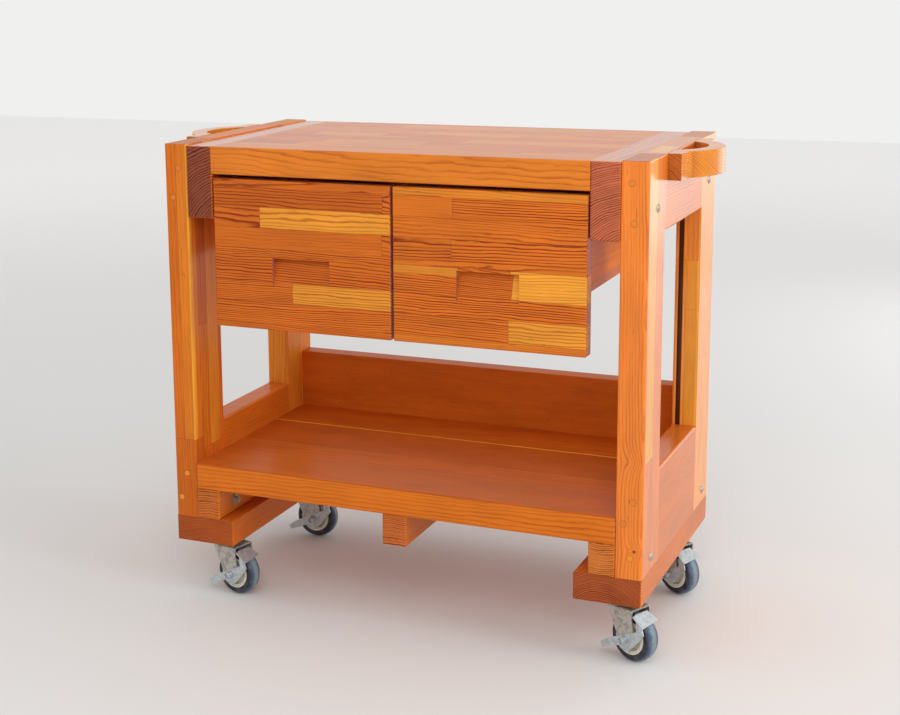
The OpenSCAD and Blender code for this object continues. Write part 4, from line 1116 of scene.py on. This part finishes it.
class CART_OT_model_hubs(bpy.types.Operator):
    """Model the hubs"""

    bl_idname = "cart.model_hubs"
    bl_label = "Hubs"

    def execute(self, context):
        sizes, metal = context.scene.cart_casters, context.scene.cart_metal
        height = axle_height()
        rim = (height - sizes.tyre_thickness) / MM
        play = 0.3
        half = (sizes.fork_width - 2 * sizes.fork_sheet) / 2 / MM - play
        # Out from the axle and along it in millimetres: boss, web, ring and rim
        one_side = [(4.05, half), (8.4, half), (9, half - 0.6), (9, 7.5),
                    (10.5, 5.2), (15, 4.2), (18.6, 5),
                    (19.6, 8.5), (19.6, 11.2), (20.4, 12.6), (21.4, 12.6), (21.9, 11.6), (22.6, 11.6),
                    (23, 13), (23.6, 13.5), (rim - 0.5, 13.5), (rim, 13)]
        profile = one_side + [(r, -y) for r, y in reversed(one_side)]
        pattern = turn_profile(
            "hub_pattern", [(sizes.trail + r * MM, y * MM, height) for r, y in profile],
            (sizes.trail, 0, height), (0, 1, 0), sizes.turn_steps)
        smooth(pattern, 32)
        brown_dust = (0.36, 0.31, 0.23, 1)
        material, nodes, shader, coordinates = new_material("hub_plastic")
        dust = nodes.use("Dusty moulding", vector=coordinates["Object"], amount=0.6)
        dusty = nodes.math("MULTIPLY", dust["Dust"], 0.5)
        nodes.feed(shader.inputs["Base Color"], nodes.mix(dusty, (*metal.ivory, 1), brown_dust))
        nodes.feed(shader.inputs["Roughness"], nodes.math("MULTIPLY_ADD", dust["Dust"], 0.3, 0.38))
        add_bump(nodes, shader, dust["Grain"], distance=0.00005, strength=0.3)
        place_on_casters(pattern, "hub", material, "hub_plastic", "wheel")
        return {"FINISHED"}


class CART_OT_model_forks(bpy.types.Operator):
    """Model the casters' forks as bent sheet metal"""

    bl_idname = "cart.model_forks"
    bl_label = "Forks"

    def execute(self, context):
        sizes, metal = context.scene.cart_casters, context.scene.cart_metal
        crown = 84 * MM
        race_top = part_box("front_left_fork")[1].z
        trail, height = sizes.trail, axle_height()
        half, eye_radius = sizes.fork_width / 2, 15 * MM
        back = trail + 10 * MM
        lead_top, back_low = (-2 * MM, crown), (back, height + 32 * MM)
        axle = (trail, height)
        outline = [lead_top, (back, crown), back_low]
        outline += arc(axle, eye_radius, tangent(back_low, axle, eye_radius, -1),
                       tangent(lead_top, axle, eye_radius, 1) - 360, 16)
        pattern = trace("fork_pattern", [(x, half, z) for x, z in outline])
        thicken((0, -sizes.fork_width, 0))
        lead_low = outline[-1]
        lead_way = Vector((lead_top[0] - lead_low[0], 0, lead_top[1] - lead_low[1])).normalized()

        def on_crown(point):
            return point.z > crown - 1e-5

        def on_lead(point):
            along = point - Vector((lead_low[0], point.y, lead_low[1]))
            return along.length > 1e-4 and abs(along.normalized().dot(lead_way)) > 0.9999

        pick("EDGE", lambda e: abs(abs(middle(e).y) - half) < 1e-6 and on_lead(middle(e)))
        bpy.ops.mesh.bevel(offset=sizes.fork_flange, segments=1, affect="EDGES")
        pick("EDGE", lambda e: on_crown(e.verts[0].co) and on_crown(e.verts[1].co)
             and abs(middle(e).y) > half - sizes.fork_flange)
        bpy.ops.mesh.bevel(offset=sizes.fork_bend, segments=4, affect="EDGES")
        pick("FACE", lambda f: abs(f.normal.y) < 0.02 and f.normal.z < 0.9)
        bpy.ops.mesh.delete(type="FACE")
        bpy.ops.object.mode_set(mode="OBJECT")
        apply_modifier(pattern, "SOLIDIFY", thickness=sizes.fork_sheet, offset=-1, use_even_offset=True)
        soften(pattern, 0.5 * MM, angle=45)
        hole, rim = 5.2 * MM, 24 * MM
        profile = [(hole, crown - MM), (rim, crown - MM), (rim, crown + 0.8 * MM),
                   (rim - 0.8 * MM, crown + 1.8 * MM), (rim - 3 * MM, race_top - 0.5 * MM),
                   (rim - 3.6 * MM, race_top), (hole, race_top)]
        race = turn_profile(
            "race_pattern", [(r, 0, z) for r, z in profile], (0, 0, 0), (0, 0, 1), sizes.turn_steps)
        smooth(race, 35)
        zinc = plated_material("fork_zinc", metal.zinc, screen(122, 118, 110), wear=0.6, roughness=0.36)
        pattern = join("fork_pattern", [pattern, race])
        place_on_casters(pattern, "fork", zinc, "zinc_steel", "swivel")
        return {"FINISHED"}


class CART_OT_model_axle_bolts(bpy.types.Operator):
    """Model the axle bolts with their heads and long nuts"""

    bl_idname = "cart.model_axle_bolts"
    bl_label = "Axle Bolts"

    def execute(self, context):
        sizes, metal = context.scene.cart_casters, context.scene.cart_metal
        height, trail = axle_height(), sizes.trail
        centre, along = (trail, 0, height), (0, 1, 0)
        cheek = sizes.fork_width / 2
        nut_face = cheek + 0.6 * MM + sizes.pedal_sheet
        nut_end = nut_face + sizes.nut_length
        bolt_end = nut_end - 1.8 * MM
        bolt_radius, chamfer, axis_gap = 3.9 * MM, 0.6 * MM, 0.01 * MM
        profile = [(axis_gap, -cheek - MM), (bolt_radius, -cheek - MM),
                   (bolt_radius, bolt_end - chamfer), (bolt_radius - chamfer, bolt_end),
                   (axis_gap, bolt_end)]
        shank = turn_profile(
            "shank_pattern", [(trail + r, -y, height) for r, y in profile], centre, along, 32)
        smooth(shank)
        outer, bore = sizes.nut_diameter / 2, 4.05 * MM
        profile = [(bore, nut_face), (outer - 0.5 * MM, nut_face), (outer, nut_face + 0.5 * MM),
                   (outer, nut_end - 0.8 * MM), (outer - 0.8 * MM, nut_end),
                   (bore + 0.35 * MM, nut_end), (bore, nut_end - 0.6 * MM)]
        nut = turn_profile(
            "nut_pattern", [(trail + r, -y, height) for r, y in profile], centre, along, 40)
        smooth(nut)
        head_height = 5 * MM
        bpy.ops.object.select_all(action="DESELECT")
        bpy.ops.mesh.primitive_cylinder_add(
            vertices=6, radius=6.8 * MM, depth=head_height,
            location=(trail, cheek + head_height / 2, height), rotation=(math.pi / 2, 0, 0))
        head = named("head_pattern")
        settle(head)
        bpy.ops.object.mode_set(mode="EDIT")
        pick("FACE", lambda f: f.normal.y > 0.9)
        bpy.ops.mesh.inset(thickness=1.2 * MM, depth=0)
        bpy.ops.object.mode_set(mode="OBJECT")
        soften(head, 0.5 * MM)
        zinc = plated_material("axle_zinc", metal.bright, screen(124, 122, 116), wear=0.4, roughness=0.3)
        pattern = join("axle_bolt_pattern", [shank, nut, head])
        place_on_casters(pattern, "axle_bolt", zinc, "zinc_steel", "swivel")
        return {"FINISHED"}


class CART_OT_model_pedals(bpy.types.Operator):
    """Model the brake pedals as bent sheet metal"""

    bl_idname = "cart.model_pedals"
    bl_label = "Brake Pedals"

    def execute(self, context):
        sizes, metal = context.scene.cart_casters, context.scene.cart_metal
        height, trail, sheet = axle_height() / MM, sizes.trail / MM, sizes.pedal_sheet / MM
        inner = sizes.fork_width / 2 / MM + 0.3
        outer = inner + sheet
        lean = sizes.pad_lean
        pad_radius = height + 1.2

        def on_pad(along, out):
            """A point along the pad and out from it, back and up from the axle in millimetres."""
            return ((pad_radius + out) * math.sin(lean) + along * math.cos(lean),
                    (pad_radius + out) * math.cos(lean) - along * math.sin(lean))

        def on_caster(back, across, up):
            """A point back from the swivel's axis, across and up from the axle, in metres."""
            return ((trail + back) * MM, across * MM, (height + up) * MM)

        boss_radius, arm_angle = 16.5, -132.6
        tail = (31, 10)
        # Outline of the plate, back and up from the axle: arm, pad, tail and boss
        outline = [(-48, -17.5), (-33, -7.5), (21.5, 18.5), on_pad(-5, 1), on_pad(9.5, 1),
                   (35, 16.5), tail]
        outline += arc((0, 0), boss_radius, tangent(tail, (0, 0), boss_radius, -1), arm_angle, 12)
        outline += [(-25.5, -18), (-43.5, -24.5)]
        plate = trace("plate_pattern", [on_caster(x, -inner, z) for x, z in outline])
        thicken((0, -sheet * MM, 0))
        bpy.ops.object.mode_set(mode="OBJECT")
        soften(plate, 0.45 * MM)
        # Corners of the pad, along it and across the caster
        corners = [(-14.5, -17), (-14.5, 10), (5.4, 16.5), (10.5, -outer), (-13, -outer), (-13, -17)]
        points = []
        for along, across in corners:
            back, up = on_pad(along, 0)
            points.append(on_caster(back, across, up))
        pad = trace("pad_pattern", points)
        thicken((sheet * MM * math.sin(lean), 0, sheet * MM * math.cos(lean)))
        bpy.ops.object.mode_set(mode="OBJECT")
        soften(pad, 0.45 * MM)
        zinc = plated_material("pedal_zinc", metal.bright, screen(140, 138, 132), wear=0.4,
                               roughness=0.34, metallic=0.5)
        pattern = join("pedal_pattern", [plate, pad])
        place_on_casters(pattern, "brake_pedal", zinc, "bright_zinc", "brake")
        return {"FINISHED"}


# Stage


class CART_OT_build_stage(bpy.types.Operator):
    """Build the floor, the light and the camera"""

    bl_idname = "cart.build_stage"
    bl_label = "Stage"

    def execute(self, context):
        stage = context.scene.cart_stage
        floor_size = 14
        bpy.ops.object.select_all(action="DESELECT")
        bpy.ops.mesh.primitive_plane_add(size=floor_size, location=(0, 0, 0))
        floor = named("floor")
        material, nodes, shader, coordinates = new_material("floor_paint")
        shade = nodes.noise(coordinates["Object"], 1.6, 2.0)
        darker = [c * 0.8 for c in stage.floor]
        nodes.feed(shader.inputs["Base Color"],
                   nodes.mix(nodes.math("MULTIPLY", shade, 0.08), (*stage.floor, 1), (*darker, 1)))
        shader.inputs["Roughness"].default_value = 0.9
        shader.inputs["Specular IOR Level"].default_value = 0.2
        # Painted light: the floor glows more the farther it is from the cart, up to 0.22, so that it
        # fades into the backdrop.
        shader.inputs["Emission Color"].default_value = (1, 1, 1, 1)
        away = nodes.vector("LENGTH", coordinates["Object"])
        nodes.feed(shader.inputs["Emission Strength"], nodes.ease(away, 1.0, 6.0, 0.0, 0.22))
        floor.data.materials.append(material)

        world = bpy.data.worlds.new("studio")
        context.scene.world = world
        world.use_nodes = True
        sky = Nodes(world.node_tree)
        world.node_tree.nodes.clear()
        path = sky.add("ShaderNodeLightPath").outputs
        seen = sky.math("MAXIMUM", path["Is Glossy Ray"], path["Is Transmission Ray"])
        seen = sky.math("MAXIMUM", path["Is Camera Ray"], seen)
        light = sky.add("ShaderNodeBackground")
        light.inputs["Color"].default_value = (1, 1, 1, 1)
        light.inputs["Strength"].default_value = stage.sky_strength
        shown = sky.add("ShaderNodeBackground")
        shown.inputs["Color"].default_value = (*stage.backdrop, 1)
        both = sky.add("ShaderNodeMixShader")
        sky.feed(both.inputs[0], seen)
        sky.feed(both.inputs[1], light.outputs[0])
        sky.feed(both.inputs[2], shown.outputs[0])
        sky.feed(sky.add("ShaderNodeOutputWorld").inputs["Surface"], both.outputs[0])

        for name, place, size, power in (
            ("key_lamp", (0.9, -2.9, 2.4), 2.4, stage.key_power),
            ("side_lamp", (4.64, -0.32, 2.32), 3.5, stage.side_power),
            ("back_lamp", (1.6, 2.32, 0.72), 1.76, stage.back_power),
        ):
            bpy.ops.object.light_add(type="AREA", location=place)
            lamp = bpy.context.active_object
            lamp.name = name
            lamp.data.shape = "DISK"
            lamp.data.size = size
            lamp.data.energy = power
            lamp.visible_camera = False
            lamp.rotation_mode = "QUATERNION"
            way = Vector(LAMP_TARGET) - Vector(place)
            lamp.rotation_quaternion = way.to_track_quat("-Z", "Y")
        bpy.ops.object.camera_add(location=stage.camera_place, rotation=stage.camera_turn)
        camera = bpy.context.active_object
        camera.name = "photo_camera"
        camera.data.sensor_width = 36
        camera.data.lens = stage.lens
        camera.data.shift_x, camera.data.shift_y = stage.lens_shift
        camera.data.clip_end = 60
        context.scene.camera = camera
        context.scene.view_settings.view_transform = "Standard"
        return {"FINISHED"}


class CART_PT_panel(bpy.types.Panel):
    """Sidebar panel with the cart's settings and its steps"""

    bl_label = "Kitchen Cart"
    bl_space_type = "VIEW_3D"
    bl_region_type = "UI"
    bl_category = "Cart"

    def draw(self, context):
        for settings in SETTINGS:
            box = self.layout.box()
            box.label(text=settings.__doc__)
            group = getattr(context.scene, settings_name(settings))
            for name in settings.__annotations__:
                box.prop(group, name)
        for step in STEPS:
            self.layout.operator(step.bl_idname)


SETTINGS = (CartTimber, CartHandles, CartCasters, CartMetal, CartStage)
STEPS = (
    CART_OT_make_groups,
    CART_OT_finish_frames,
    CART_OT_finish_top,
    CART_OT_finish_shelf,
    CART_OT_finish_drawers,
    CART_OT_finish_fasteners,
    CART_OT_model_handles,
    CART_OT_model_tyres,
    CART_OT_model_hubs,
    CART_OT_model_forks,
    CART_OT_model_axle_bolts,
    CART_OT_model_pedals,
    CART_OT_build_stage,
)


def settings_name(settings):
    """The scene's name for a group of settings, such as cart_timber."""
    return "cart_" + settings.__name__[4:].lower()


def register():
    """Registers the settings, the steps and the panel."""
    for item in (*SETTINGS, *STEPS, CART_PT_panel):
        bpy.utils.register_class(item)
    for settings in SETTINGS:
        setattr(bpy.types.Scene, settings_name(settings), PointerProperty(type=settings))


def unregister():
    """Takes them all away again."""
    for settings in SETTINGS:
        delattr(bpy.types.Scene, settings_name(settings))
    for item in reversed((*SETTINGS, *STEPS, CART_PT_panel)):
        bpy.utils.unregister_class(item)


def main():
    """Registers everything and runs the steps in order."""
    register()
    for step in STEPS:
        group, name = step.bl_idname.split(".")
        getattr(getattr(bpy.ops, group), name)()


if __name__ == "__main__":
    main()
